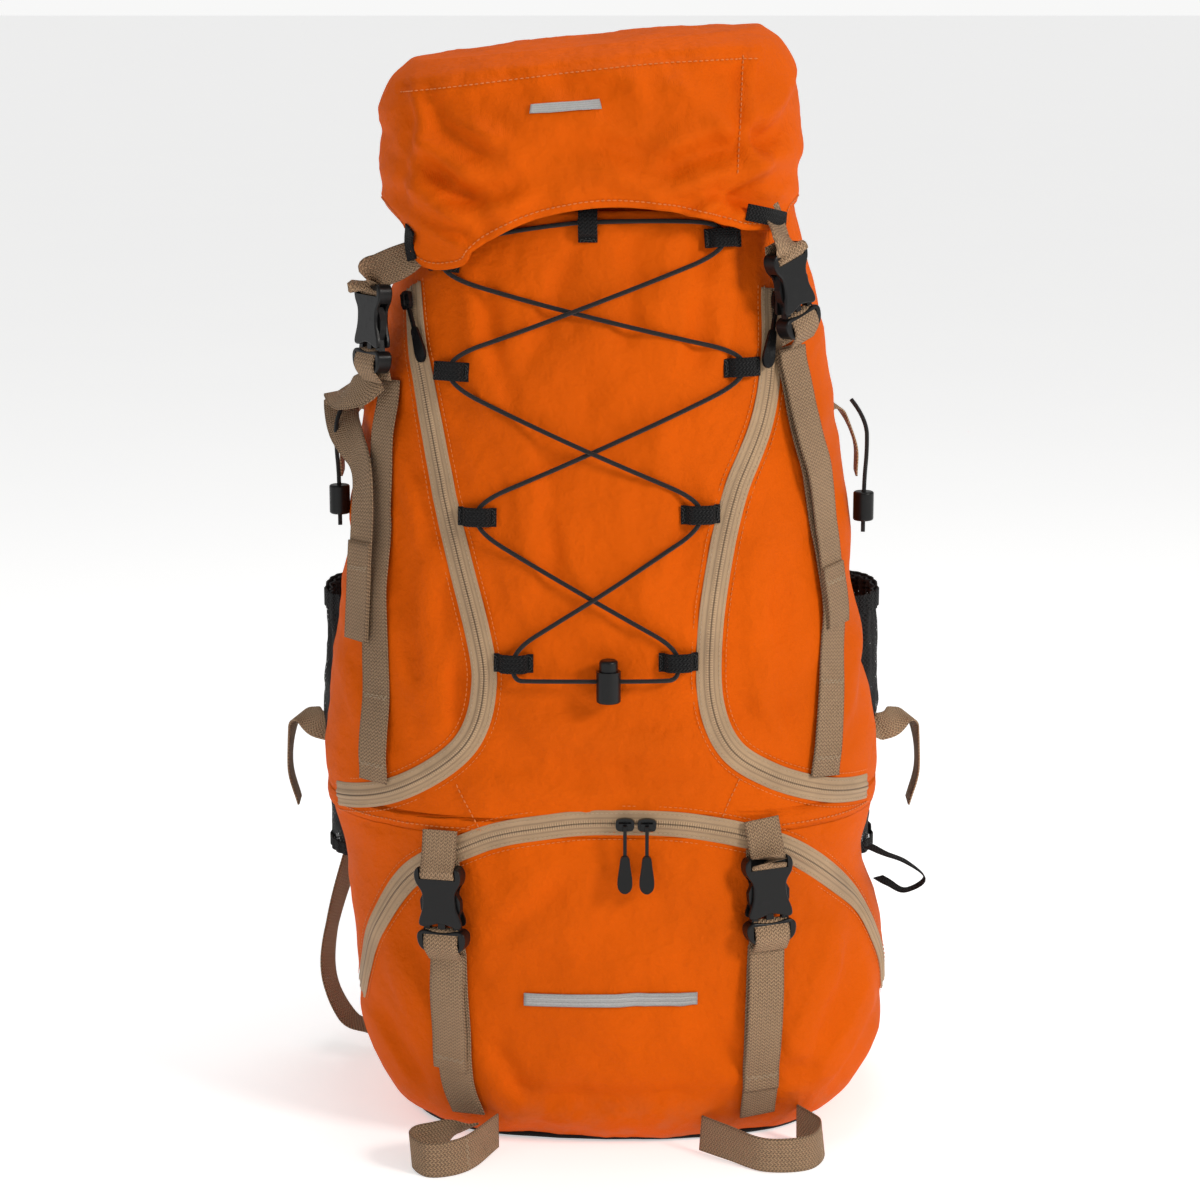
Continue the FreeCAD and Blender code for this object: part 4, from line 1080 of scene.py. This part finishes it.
def add_lid():
    rows = [k / 52 for k in range(53)] + [1 + k / 22 for k in range(1, 22)] + [1.99]
    ring_piece("lid", rows, 330, lid_place, "lid", ("lid_pocket", "lid_skirt"), thick=2.0)
    hem = []
    seam = []
    for k in range(150):
        angle = math.pi * (0.06 + 0.88 * k / 149)
        hem.append(lid_round(angle, hem_height(angle) + 4.5, 0.4)[0])
    for p in smooth_path(LID_SEAM, 90):
        seam.append(lid_at(p[0], p[1] - 3.4, 0.4))
    stitches("lid_stitching", [hem, seam], STITCH, "lid")


def add_lid_flap():
    """Cloth that joins the lid to the back panel."""
    def place(share, row):
        x = 88 - 184 * share
        z = 618 + 72 * row
        sag = 1.2 * math.sin(math.pi * row) + 0.5 * crumple(x, z * 2, 8.0)
        return Vector((x, 112.6 + sag, z))
    rows = [k / 24 for k in range(25)]
    flap = panel("lid_flap", rows, 60, place, None, replaced=("lid_hinge_flap",), thick=1.6)
    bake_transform(flap)
    for label, z, body in (("low", 622, "pack"), ("high", 685, "lid")):
        rows = [[Vector((x, 114.6, z + step)) for x in range(-92, 86, 6)] for step in (0, 4)]
        stitches("lid_flap_stitching_" + label, rows, STITCH, body)


def add_collar():
    """Gathered mouth of the main compartment under the lid."""
    def place(angle, row):
        z = MAIN_TOP - 8 + 28 * row
        shrink = 4 + 14 * row
        front = angle <= math.pi
        power = FRONT_POWER if front else REAR_POWER
        half = curve_value(CORE_HALF_WIDTH, z) - shrink
        depth = (curve_value(FRONT_DEPTH, z) if front else REAR_DEPTH) - shrink
        x = -half * math.copysign(abs(math.cos(angle)) ** (2 / power), math.cos(angle))
        y = depth * abs(math.sin(angle)) ** (2 / power) * (-1 if front else 1)
        pleat = 1.3 * math.sin(angle * 42 + math.sin(angle * 9)) * row
        return Vector((curve_value(SWAY, z) + x * (1 + pleat / half), y * (1 + pleat / depth), z))
    rows = [k / 10 for k in range(11)]
    ring_piece("collar_cloth", rows, 260, place, "pack", ("collar",), thick=1.4)


# ================================================================ zips and webbing
ZIP_WING = ((0.5, 1.9), (1.2, 2.0), (2.2, 1.7), (3.0, 1.05), (5.5, 1.0), (8.2, 0.95), (8.6, 0.6), (8.5, 0.1))
ZIP_PROFILE = tuple((-u, h) for u, h in reversed(ZIP_WING)) + ((0.0, 1.2),) + ZIP_WING


def add_zip(name, path, node):
    places, outwards = on_front(path, 260, 0.0)
    thing = band(name, places, outwards, ZIP_PROFILE)
    finish_piece(thing, TAPE, "pack", (node,))
    rows = [beside(places, outwards, offset, 1.1) for offset in (-6.6, 6.6)]
    stitches(name + "_stitching", rows, TAN_STITCH, "pack", spacing=3.2, radius=0.3, length=1.2)
    welt = [beside(places, outwards, offset, 0.5) for offset in (-11.5, 11.5)]
    stitches(name + "_topstitching", welt, STITCH, "pack", 3.4, 0.32, 1.25)


def add_zips():
    for name, _ in SIDES:
        add_zip("front_zip_" + name, ZIP_PATH[name], "pocket_zip_" + name)
    add_zip("arch_zip", ARCH_PATH, "lower_zip")


def webbing(name, places, outwards, body, replaced=(), width=25.0, thick=1.5, paint=None):
    thing = band(name, places, outwards, flat_profile(width, thick))
    return finish_piece(thing, paint or WEB, body, replaced)


def waver(places, outwards, height, length):
    """Adds the gentle lift of a free band, none at its first point."""
    last = len(places) - 1
    return [p + n * (height * math.sin(math.pi * 1.3 * k / last + length) * ease(k / last, 0, 0.3))
            for k, (p, n) in enumerate(zip(places, outwards))]


def twisted_tail():
    """The left upper tail leaves its buckle sideways, folds over and then hangs."""
    route = ((-142, 527, 9), (-148, 518, 12), (-158, 510, 16), (-168, 502, 17), (-165, 487, 12), (-155, 464, 8),
             (-157, 400, 7), (-161, 352, 6))
    pairs = [front_at(x, z, lift, 0.6) for x, z, lift in route]
    normal = pairs[-1][1]
    looks = [pairs[0][1], (normal + Vector((0, 0, 0.6))).normalized(), Vector((-0.1, -0.5, 1.0)),
             Vector((-0.5, -0.5, 0.9)), (normal + Vector((-0.5, 0, 0.3))).normalized(), normal, normal, normal]
    return smooth_path([p for p, _ in pairs], 70), turning(looks, 70)


def add_front_straps():
    for name, _ in SIDES:
        places, outwards = on_front(UPPER_RUN[name], 70, 1.6)
        run = webbing("strap_run_" + name, places, outwards, None, ("strap_run_" + name,))
        top = places[0] * MM
        tuple(top + Vector((0, 0, -0.006)))
        tuple(top + Vector((0, 0, -0.10)))
        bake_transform(run)
        bars = [box_stitch(places, outwards, at, 21, 1.7) for at in (len(places) - 4, len(places) - 16)]
        stitches("strap_bartack_" + name, bars, TAN_STITCH, "pack", 1.6, 0.4, 0.9)
        if name == "left":
            places, outwards = twisted_tail()
        else:
            places, outwards = on_front(UPPER_TAIL[name], 70, 5.2)
            places = waver(places, outwards, 3.0, 0.2)
        webbing("loose_tail_" + name, places, outwards, "upper_clip_" + name, ("upper_tail_" + name,))
        folded, looks = places[-16:], outwards[-16:]
        webbing("tail_hem_" + name, [p + n * 1.5 for p, n in zip(folded, looks)], looks, "upper_clip_" + name)
        bars = [box_stitch(places, outwards, len(places) - 12, 21, 3.1)]
        places, outwards = on_front(LOWER_TAIL[name], 50, 4.6)
        places = waver(places, outwards, 2.4, 0.0)
        webbing("lower_loose_tail_" + name, places, outwards, "lower_clip_" + name, ("lower_tail_" + name,))
        low_bars = [box_stitch(places, outwards, len(places) - 6, 21, 1.6)]
        places, outwards = on_front(LOWER_RUN[name], 50, 1.4)
        run = webbing("lower_run_" + name, places, outwards, None)
        top = places[0] * MM
        tuple(top + Vector((0, 0, -0.004)))
        tuple(top + Vector((0, 0, -0.07)))
        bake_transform(run)
        stitches("tail_stitching_" + name, bars, TAN_STITCH, "upper_clip_" + name, 1.6, 0.4, 0.9)
        stitches("lower_tail_stitching_" + name, low_bars, TAN_STITCH, "lower_clip_" + name,
                 1.6, 0.4, 0.9)


# ================================================================ buckles' webbing
UPPER_BUCKLES = {"left": (-141.0, 530.0, 0.18), "right": (117.0, 558.0, -0.36)}
LOWER_BUCKLES = {"left": (-104.0, 149.0, -0.05), "right": (107.0, 155.5, -0.048)}
HEM_TAB = {"left": (-115, 606), "right": (98, 631)}
STUB_TOP = {"left": (-109, 231), "right": (103, 239)}


def buckle_frame(x, z, lean, lift, tilt):
    """Origin of a buckle's lower edge, and its upward and outward directions."""
    point, normal = front_at(x, z, 0.0, 0.0)
    rise = (front_at(x + 40 * lean, z + 40, 0.0, 0.0)[0] - point).normalized()
    across = rise.cross(normal).normalized()
    outward = across.cross(rise).normalized()
    turn = math.radians(tilt)
    up = rise * math.cos(turn) + outward * math.sin(turn)
    return point + outward * lift, up, across.cross(up).normalized()


def wrapped(name, places, looks, count, body, replaced=(), width=24.6):
    """Webbing along free points, facing the listed ways in turn."""
    return webbing(name, smooth_path(places, count), turning(looks, count), body, replaced, width)


def add_buckle_webbing():
    for name, _ in SIDES:
        x, z, lean = UPPER_BUCKLES[name]
        origin, up, out = buckle_frame(x, z, lean, 10.0, 10.0)
        tab, normal = front_at(*HEM_TAB[name], 13.0, 0.0)
        above, _ = front_at(HEM_TAB[name][0] * 0.97, HEM_TAB[name][1] + 12, 11.0, 0.0)
        route = (origin + up * 63 + out * 1.6, origin + up * 54 + out * 0.9, origin + up * 49.5 + out * 5.5,
                 origin + up * 54 + out * 10.2, origin + up * 63 + out * 7.4, tab, above)
        looks = (-out, -out, -up, out, out, normal, normal)
        wrapped("lid_stub_" + name, route, looks, 60, "lid", ("lid_stubs",))
        add_ladder_turn("upper", name, origin, up, out)
        x, z, lean = LOWER_BUCKLES[name]
        origin, up, out = buckle_frame(x, z, lean, 4.5, 0.0)
        tab, normal = front_at(*STUB_TOP[name], 2.6)
        route = (origin + up * 63 + out * 0.8, origin + up * 54 + out * 0.7, origin + up * 49.5 + out * 5.5,
                 origin + up * 54 + out * 10.2, origin + up * 63 + out * 6.0, tab)
        wrapped("lower_stub_" + name, route, (-out, -out, -up, out, out, normal), 60, "pack", ("lower_stubs",))
        add_ladder_turn("lower", name, origin, up, out)


def add_ladder_turn(level, name, origin, up, out):
    """Webbing that comes up behind the prong half's bar and turns over it."""
    route = (origin - up * 5 - out * 1.4, origin + up * 3 + out * 0.6, origin + up * 12.4 + out * 3.0,
             origin + up * 14.4 + out * 6.0, origin + up * 11 + out * 9.6, origin + up * 3 + out * 10.6,
             origin - up * 6 + out * 4.0)
    wrapped(level + "_turn_" + name, route, (-out, -out, up, up, out, out, out), 40, level + "_clip_" + name)


# ================================================================ loose bands and loops
def add_mat_loops():
    routes = {
        "left": ((-92, -114, 14), (-112, -128, 13.5), (-130, -146, 13), (-118, -166, 12.6), (-94, -156, 13),
                 (-74, -118, 14)),
        "right": ((66, -122, 14), (84, -138, 13.5), (108, -158, 13), (138, -152, 12.6), (147, -124, 13),
                  (132, -101, 14)),
    }
    looks = ((-1, -0.6, 0.1), (-1, -0.5, 0), (-0.7, -1, -0.1), (0.2, -1, 0), (1, -0.6, 0.1), (1, -0.2, 0))
    for name, _ in SIDES:
        places, faces = smooth_path(routes[name], 60), turning(looks, 60)
        webbing("mat_loop_" + name, places, faces, "pack", ("mat_loops",))
        bars = [box_stitch(places, faces, 42, 21, 1.6)]
        stitches("mat_loop_stitching_" + name, bars, TAN_STITCH, "pack", 1.6, 0.4, 0.9)


def add_side_straps():
    for name, side in SIDES:
        start = curve_value(SWAY, 480) + side * 147
        high = ((start, 30, 486), (start + side * 11, 44, 492), (start + side * 23, 54, 486),
                (start + side * 34, 58, 462), (start + side * 35, 60, 440))
        looks = ((side, 0, 0.2), (side * 0.5, 0, 1), (side * 0.6, 0, 1), (side, 0, 0.4), (side, 0, 0))
        wrapped("compression_upper_" + name, high, looks, 40, "pack", ("compression_straps",), 20)
        start = side * 202 - 1
        low = ((start - side * 30, 22, 260), (start, 30, 262), (start + side * 11, 44, 266),
               (start + side * 21, 54, 258), (start + side * 25, 58, 225), (start + side * 19, 60, 198))
        looks = ((side * 0.4, 0, 1),) + looks
        wrapped("compression_lower_" + name, low, looks, 50, "pack", (), 20)


def add_ribbon_loop():
    route = ((188, 2, 180), (198, -6, 177), (213, -10, 172), (226, -12, 161), (213, -10, 152), (202, -6, 156),
             (195, 2, 158))
    looks = ((0, 0, 1), (0.1, 0, 1), (0.3, 0, 1), (1, 0, 0), (0.3, 0, -1), (0.1, 0, -1), (0, 0, -1))
    webbing("ribbon", smooth_path(route, 50), turning(looks, 50), "pack", ("ribbon_loop",), 10, 1.0, BLACK_WEB)


def add_lace_loops():
    bars = []
    for index, (x, z) in enumerate(LOOPS["left"] + LOOPS["right"] + (TOP_LOOP,)):
        point, normal = front_at(x, z, 0.2)
        across = Vector((0, 0, 1)).cross(normal).normalized()
        if (x, z) == TOP_LOOP:
            across = normal.cross(across).normalized()
        rise = ((-13, 0.4), (-9.4, 0.8), (-7.6, 4.6), (-5.0, 6.3), (0, 6.9), (5.0, 6.3), (7.6, 4.6), (9.4, 0.8),
                (13, 0.4))
        places = smooth_path([point + across * a + normal * h for a, h in rise], 40)
        looks = [(normal * (1.0 - 0.5 * abs(k - 19.5) / 19.5)).normalized() for k in range(40)]
        webbing(f"lace_loop_{index}", places, looks, "pack", ("lace_loops",) if index == 0 else (), 12.5, 1.1,
                BLACK_WEB)
        for offset in (-11.4, 11.4):
            middle = point + across * offset + normal * 2.0
            up = normal.cross(across).normalized()
            bars.append([middle + up * (k - 4) * 1.2 + across * (1 if k % 2 else -1) for k in range(9)])
    stitches("lace_loop_stitching", bars, BLACK_STITCH, "pack", 1.4, 0.32, 0.8)


def add_lid_tabs():
    """Black elastic that gathers the lid's sides."""
    paths = {"right": ((90, 640), (102, 637), (116, 632)), "left": ((-125, 628), (-126, 618), (-124, 607))}
    for name, path in paths.items():
        places = []
        looks = []
        for x, z in path:
            place, outward = lid_round(lid_angle(x, z), z, 0.9)
            places.append(place)
            looks.append(outward)
        webbing("lid_tab_" + name, smooth_path(places, 24), turning(looks, 24), "lid", (), 11, 1.4, BLACK_WEB)


# ================================================================ sides: mesh pockets
def pocket_ring(side, angle, z, grow=0.0):
    bulge = math.sin(math.pi * ease(z, 172, 362) * 0.9)
    half_x, half_y = 45 + 3 * bulge + grow, 50 + grow
    cos, sin = math.cos(angle), math.sin(angle)
    x = curve_value(SWAY, 260) + side * (150 + half_x * math.copysign(abs(cos) ** 0.7, cos))
    y = 52 + half_y * math.copysign(abs(sin) ** 0.7, sin)
    return Vector((x, y, z))


MESH_TURN = [math.radians(-88 + 176 * k / 79) for k in range(80)]


def mesh_place(side):
    def place(share, z):
        angle = MESH_TURN[round(share * 79)]
        gather = 1.1 * math.sin(angle * 26 + z / 40) * ease(z, 300, 360)
        gather += 1.4 * crumple(angle * 60, z, 30.0 + side)
        return pocket_ring(side, side * angle, z, gather - 1.2)
    return place


def add_mesh_pockets():
    rows = heights(172, 360, 3.0)
    for name, side in SIDES:
        panel("mesh_pocket_cloth_" + name, rows, 80, mesh_place(side), "pack",
              ("mesh_pocket_" + name,), MESH, 1.2)
        for label, z, width in (("rim", 355, 13), ("foot", 176, 9)):
            places = [pocket_ring(side, a, z, 0.5 * math.sin(a * 26)) for a in MESH_TURN]
            looks = [Vector((side * max(0.05, math.cos(a)), math.sin(a), 0)).normalized() for a in MESH_TURN]
            webbing(f"mesh_{label}_{name}", places, looks, "pack", (), width, 1.4, BLACK_WEB)


# ================================================================ back: pads, harness and belt
def puff(thing, voxel=5.0, pressure=4.0, cap=6.0):
    """Blows a pad up from inside as cloth over foam, moving no point further than the cap."""
    remesh = thing.modifiers.new("remesh", "REMESH")
    remesh.mode = "VOXEL"
    remesh.voxel_size = voxel * MM
    bake(thing)
    start = [v.co.copy() for v in thing.data.vertices]
    cloth = thing.modifiers.new("blown", "CLOTH")
    cloth.settings.use_pressure = True
    cloth.settings.uniform_pressure_force = pressure
    cloth.settings.effector_weights.gravity = 0
    for frame_number in range(1, 21):
        scene.frame_set(frame_number)
    bake(thing)
    scene.frame_set(1)
    for vertex, before in zip(thing.data.vertices, start):
        move = vertex.co - before
        if move.length > cap * MM:
            vertex.co = before + move.normalized() * cap * MM
    thing.modifiers.new("soften", "SUBSURF").levels = 1
    bake(thing)
    thing.data.shade_smooth()
    return thing


def pad_block(name, outline, middle, inner, outer, crown):
    """Pad over an (x, z) outline: faces at depths inner and outer, the outer one crowned."""
    count = len(outline)
    rings = ((1.0, inner + 1.5), (1.0, outer - 2.5), (0.93, outer), (0.55, outer + crown * 0.8),
             (0.15, outer + crown))
    points = [Vector((middle[0] + (x - middle[0]) * s, y, middle[1] + (z - middle[1]) * s))
              for s, y in ((0.2, inner), (0.95, inner)) + rings for x, z in outline]
    faces = grid_faces(len(rings) + 2, count, closed=True)
    faces.append(tuple(range(count)))
    faces.append(tuple(range(len(points) - count, len(points))))
    return outward_faces(mesh_piece(name, points, faces))


def rounded(x0, x1, z0, z1, radius, waist=0.0):
    """Outline of a rounded rectangle, drawn in at mid height by the waist."""
    points = []
    for cx, cz, start in ((x1 - radius, z1 - radius, 0), (x0 + radius, z1 - radius, 90),
                          (x0 + radius, z0 + radius, 180), (x1 - radius, z0 + radius, 270)):
        for k in range(9):
            a = math.radians(start + 90 * k / 8)
            points.append((cx + radius * math.cos(a), cz + radius * math.sin(a)))
    fine = []
    for (xa, za), (xb, zb) in zip(points, points[1:] + points[:1]):
        steps = max(1, round(math.hypot(xb - xa, zb - za) / 8))
        fine += [(xa + (xb - xa) * k / steps, za + (zb - za) * k / steps) for k in range(steps)]
    middle = (x0 + x1) / 2
    return [(middle + (x - middle) * (1 - waist * math.sin(math.pi * ease(z, z0, z1))), z) for x, z in fine]


def piping(name, outline, y, body):
    """Sewn edge binding round a pad."""
    places = [Vector((x, y, z)) for x, z in outline + outline[:2]]
    looks = [Vector((0, 1, 0))] * len(places)
    webbing(name, places, looks, body, (), 6, 2.4, BLACK_WEB)


def add_back_pads():
    for name, x0, x1 in (("left", -88, -14), ("right", 14, 88)):
        outline = rounded(x0 + 3, x1 - 3, 239, 517, 18, 0.05)
        pad = pad_block("back_pad_" + name, outline, ((x0 + x1) / 2, 378), 108.4, 116.5, 2.0)
        puff(pad, 5.0, 4.0, 4.0)
        finish_piece(pad, SPACER, "pack", ("back_pads",) if name == "left" else ())
        piping("back_pad_edge_" + name, rounded(x0, x1, 236, 520, 20, 0.05), 108.6, "pack")
    outline = rounded(-67, 67, 115, 217, 22)
    pad = pad_block("lumbar_pad", outline, (0, 166), 109.4, 121.0, 2.5)
    puff(pad, 5.0, 4.0, 4.0)
    finish_piece(pad, SPACER, "pack")
    piping("lumbar_edge", rounded(-70, 70, 112, 220, 24), 109.8, "pack")


STRAP_PROFILE = ((-29.5, 4.0), (-29.5, 6.5), (-26, 8.8), (-14, 10.0), (0, 10.3), (14, 10.0), (26, 8.8),
                 (29.5, 6.5), (29.5, 4.0), (26, 1.2), (12, 0.8), (-12, 0.8), (-26, 1.2))


def add_shoulder_straps():
    for name, side in SIDES:
        route = ((side * 50, 119, 540), (side * 52, 132, 560), (side * 58, 152, 560), (side * 68, 164, 522),
                 (side * 82, 166, 440), (side * 94, 165, 340), (side * 100, 160, 238))
        looks = ((0, -0.5, 1), (0, -0.1, 1), (0, 0.6, 0.8), (0, 1, 0.2), (0, 1, 0), (0, 1, 0), (0, 1, 0))
        places, faces = smooth_path(route, 90), turning(looks, 90)
        strap = band("harness_pad_" + name, places, faces, [(u, h - 5.5) for u, h in STRAP_PROFILE])
        puff(strap, 5.0, 3.0, 3.0)
        finish_piece(strap, SPACER, "pack", ("shoulder_strap_" + name,))
        for edge in (-29.5, 29.5):
            line = beside(places, faces, edge, -1.0)
            where = "inner" if edge * side < 0 else "outer"
            webbing(f"harness_edge_{name}_{where}", line, faces, "pack", (), 5.5, 2.6, BLACK_WEB)
        rows = [beside(places[8:-6], faces[8:-6], edge, 5.4) for edge in (-15, 15)]
        stitches("harness_stitching_" + name, rows, BLACK_STITCH, "pack", 3.6, 0.4, 1.4)


def add_harness_webbing():
    routes = {
        "left": ((-100, 166, 223), (-128, 164, 212), (-168, 140, 186), (-196, 112, 120), (-207, 92, 62),
                 (-192, 78, 26), (-170, 66, 22)),
        "right": ((100, 166, 223), (128, 164, 212), (165, 140, 186), (188, 112, 130), (196, 92, 80),
                  (193, 82, 46), (186, 74, 32)),
    }
    for name, side in SIDES:
        looks = ((0, 1, 0.1), (side * 0.2, 1, 0.2), (side * 0.6, 0.8, 0.2), (side * 0.9, 0.5, 0.1),
                 (side, 0.3, 0), (side, 0.3, -0.5), (side * 0.4, 0.3, -1))
        webbing("adjuster_" + name, smooth_path(routes[name], 90), turning(looks, 90), "pack",
                ("shoulder_webbing",) if name == "left" else (), 24, 1.6)
        lifter = ((side * 52, 112, 608), (side * 56, 128, 603), (side * 64, 160, 584), (side * 68, 179, 556))
        looks = ((0, 0.4, 1), (0, 0.5, 1), (0, 0.7, 0.8), (0, 1, 0.6))
        webbing("load_lifter_" + name, smooth_path(lifter, 40), turning(looks, 40), "pack",
                ("top_webbing",) if name == "left" else (), 20, 1.6, BLACK_WEB)
    haul = ((-34, 116, 578), (-30, 119, 590), (-16, 134, 600), (0, 138, 602), (16, 134, 600), (30, 119, 590),
            (34, 116, 578))
    looks = ((-0.4, 0, 1), (-0.4, 0, 1), (-0.1, 0, 1), (0, 0, 1), (0.1, 0, 1), (0.4, 0, 1), (0.4, 0, 1))
    webbing("haul_loop", smooth_path(haul, 50), turning(looks, 50), "pack", (), 18, 1.6, BLACK_WEB)


def add_sternum_strap():
    for name, side in SIDES:
        route = [(side * x, 179.2, 400) for x in (22, 40, 70, 88)]
        webbing("sternum_band_" + name, smooth_path(route, 20), [Vector((0, 1, 0))] * 20, "sternum",
                ("sternum_strap",) if name == "left" else (), 19.5, 1.4, BLACK_WEB)


def add_hip_wings():
    for name, side in SIDES:
        low, high = sorted((side * 80, side * 163))
        outline = rounded(low + 3, high - 3, 127, 203, 24)
        wing = pad_block("belt_pad_" + name, outline, (side * 121, 165), 112.8, 122.0, 0.6)
        puff(wing, 5.0, 3.0, 2.5)
        body = "hip_wing_" + name
        finish_piece(wing, SPACER, body, ("hip_wing_" + name,))
        piping("belt_edge_" + name, rounded(low, high, 124, 206, 26), 113.0, body)


# ================================================================ generic sewn bars and seams
def satin_bar(name, corner, size, place, body):
    """Bar of close white thread lying on the cloth; it stands for no lettering."""
    x, z = corner
    width, height = size
    places = [place(x + width * k / 40, z) for k in range(41)]
    above = [place(x + width * k / 40, z + 4) for k in range(41)]
    looks = [(places[min(k + 1, 40)] - places[max(k - 1, 0)]).cross(above[k] - places[k]).normalized()
             for k in range(41)]
    thing = band(name, places, looks, flat_profile(height, 0.9))
    finish_piece(thing, PATCH, body)


def lid_angle(x, z):
    """Angle round the lid's front where its surface has this x."""
    low, high = 0.01, math.pi - 0.01
    for _ in range(24):
        middle = (low + high) / 2
        if lid_round(middle, z)[0].x < x:
            low = middle
        else:
            high = middle
    return low


def lid_at(x, z, lift):
    return lid_round(lid_angle(x, z), z, lift)[0]


def add_bars_and_seams():
    satin_bar("lid_bar", (-47, 708), (44, 7), lambda x, z: lid_at(x, z, 0.7), "lid")
    satin_bar("lower_bar", (-54, 116), (116, 9), lambda x, z: front_at(x, z, 0.6)[0], "pack")
    darts = (((-98, 262), (-90, 246), (-83, 232)), ((89, 266), (82, 250), (76, 236)))
    seams = [on_front(dart, 20, 0.4)[0] for dart in darts]
    seams.append(on_front([(x, LOWER_TOP + 4.5) for x in range(-180, 181, 20)], 200, 0.35)[0])
    stitches("panel_seams", seams, STITCH, "pack")
    stitches("lid_side_seam", [[lid_at(88 - 0.06 * (728 - z), z, 0.4) for z in range(728, 664, -3)]], STITCH,
             "lid")


NODE_PAINT = {
    "black_plastic": PLASTIC, "zip_metal": METAL, "grip_rubber": RUBBER, "stay_metal": STAY,
    "sheet_plastic": SHEET, "black_mesh": MESH, "tan_webbing": WEB, "black_fabric": BLACK_WEB,
    "spacer_foam": SPACER, "black_cord": CORD_PAINT,
}


def paint_nodes():
    """Finishes of the moulded and metal pieces that keep the frame's own shape."""
    for part in frame["record"]["subparts"]:
        if part["material_slot"] in NODE_PAINT:
            for used in frame["nodes"][part["node"]].material_slots:
                used.material = NODE_PAINT[part["material_slot"]]


def add_floor():
    mesh = bpy.data.meshes.new("floor")
    mesh.from_pydata([(-40, -40, 0), (40, -40, 0), (40, 40, 0), (-40, 40, 0)], [], [(0, 1, 2, 3)])
    ground = bpy.data.objects.new("floor", mesh)
    scene.collection.objects.link(ground)
    mesh.materials.append(floor_paint("floor"))


# ================================================================ making it all, cords first
add_camera()
add_studio()
add_lacing()
add_pole_loops()
add_main_body()
add_lower_body()
add_lid()
add_lid_flap()
add_collar()
add_zips()
add_front_straps()
add_buckle_webbing()
add_mat_loops()
add_side_straps()
add_ribbon_loop()
add_lace_loops()
add_lid_tabs()
add_mesh_pockets()
add_back_pads()
add_shoulder_straps()
add_harness_webbing()
add_sternum_strap()
add_hip_wings()
add_bars_and_seams()
paint_nodes()
add_floor()
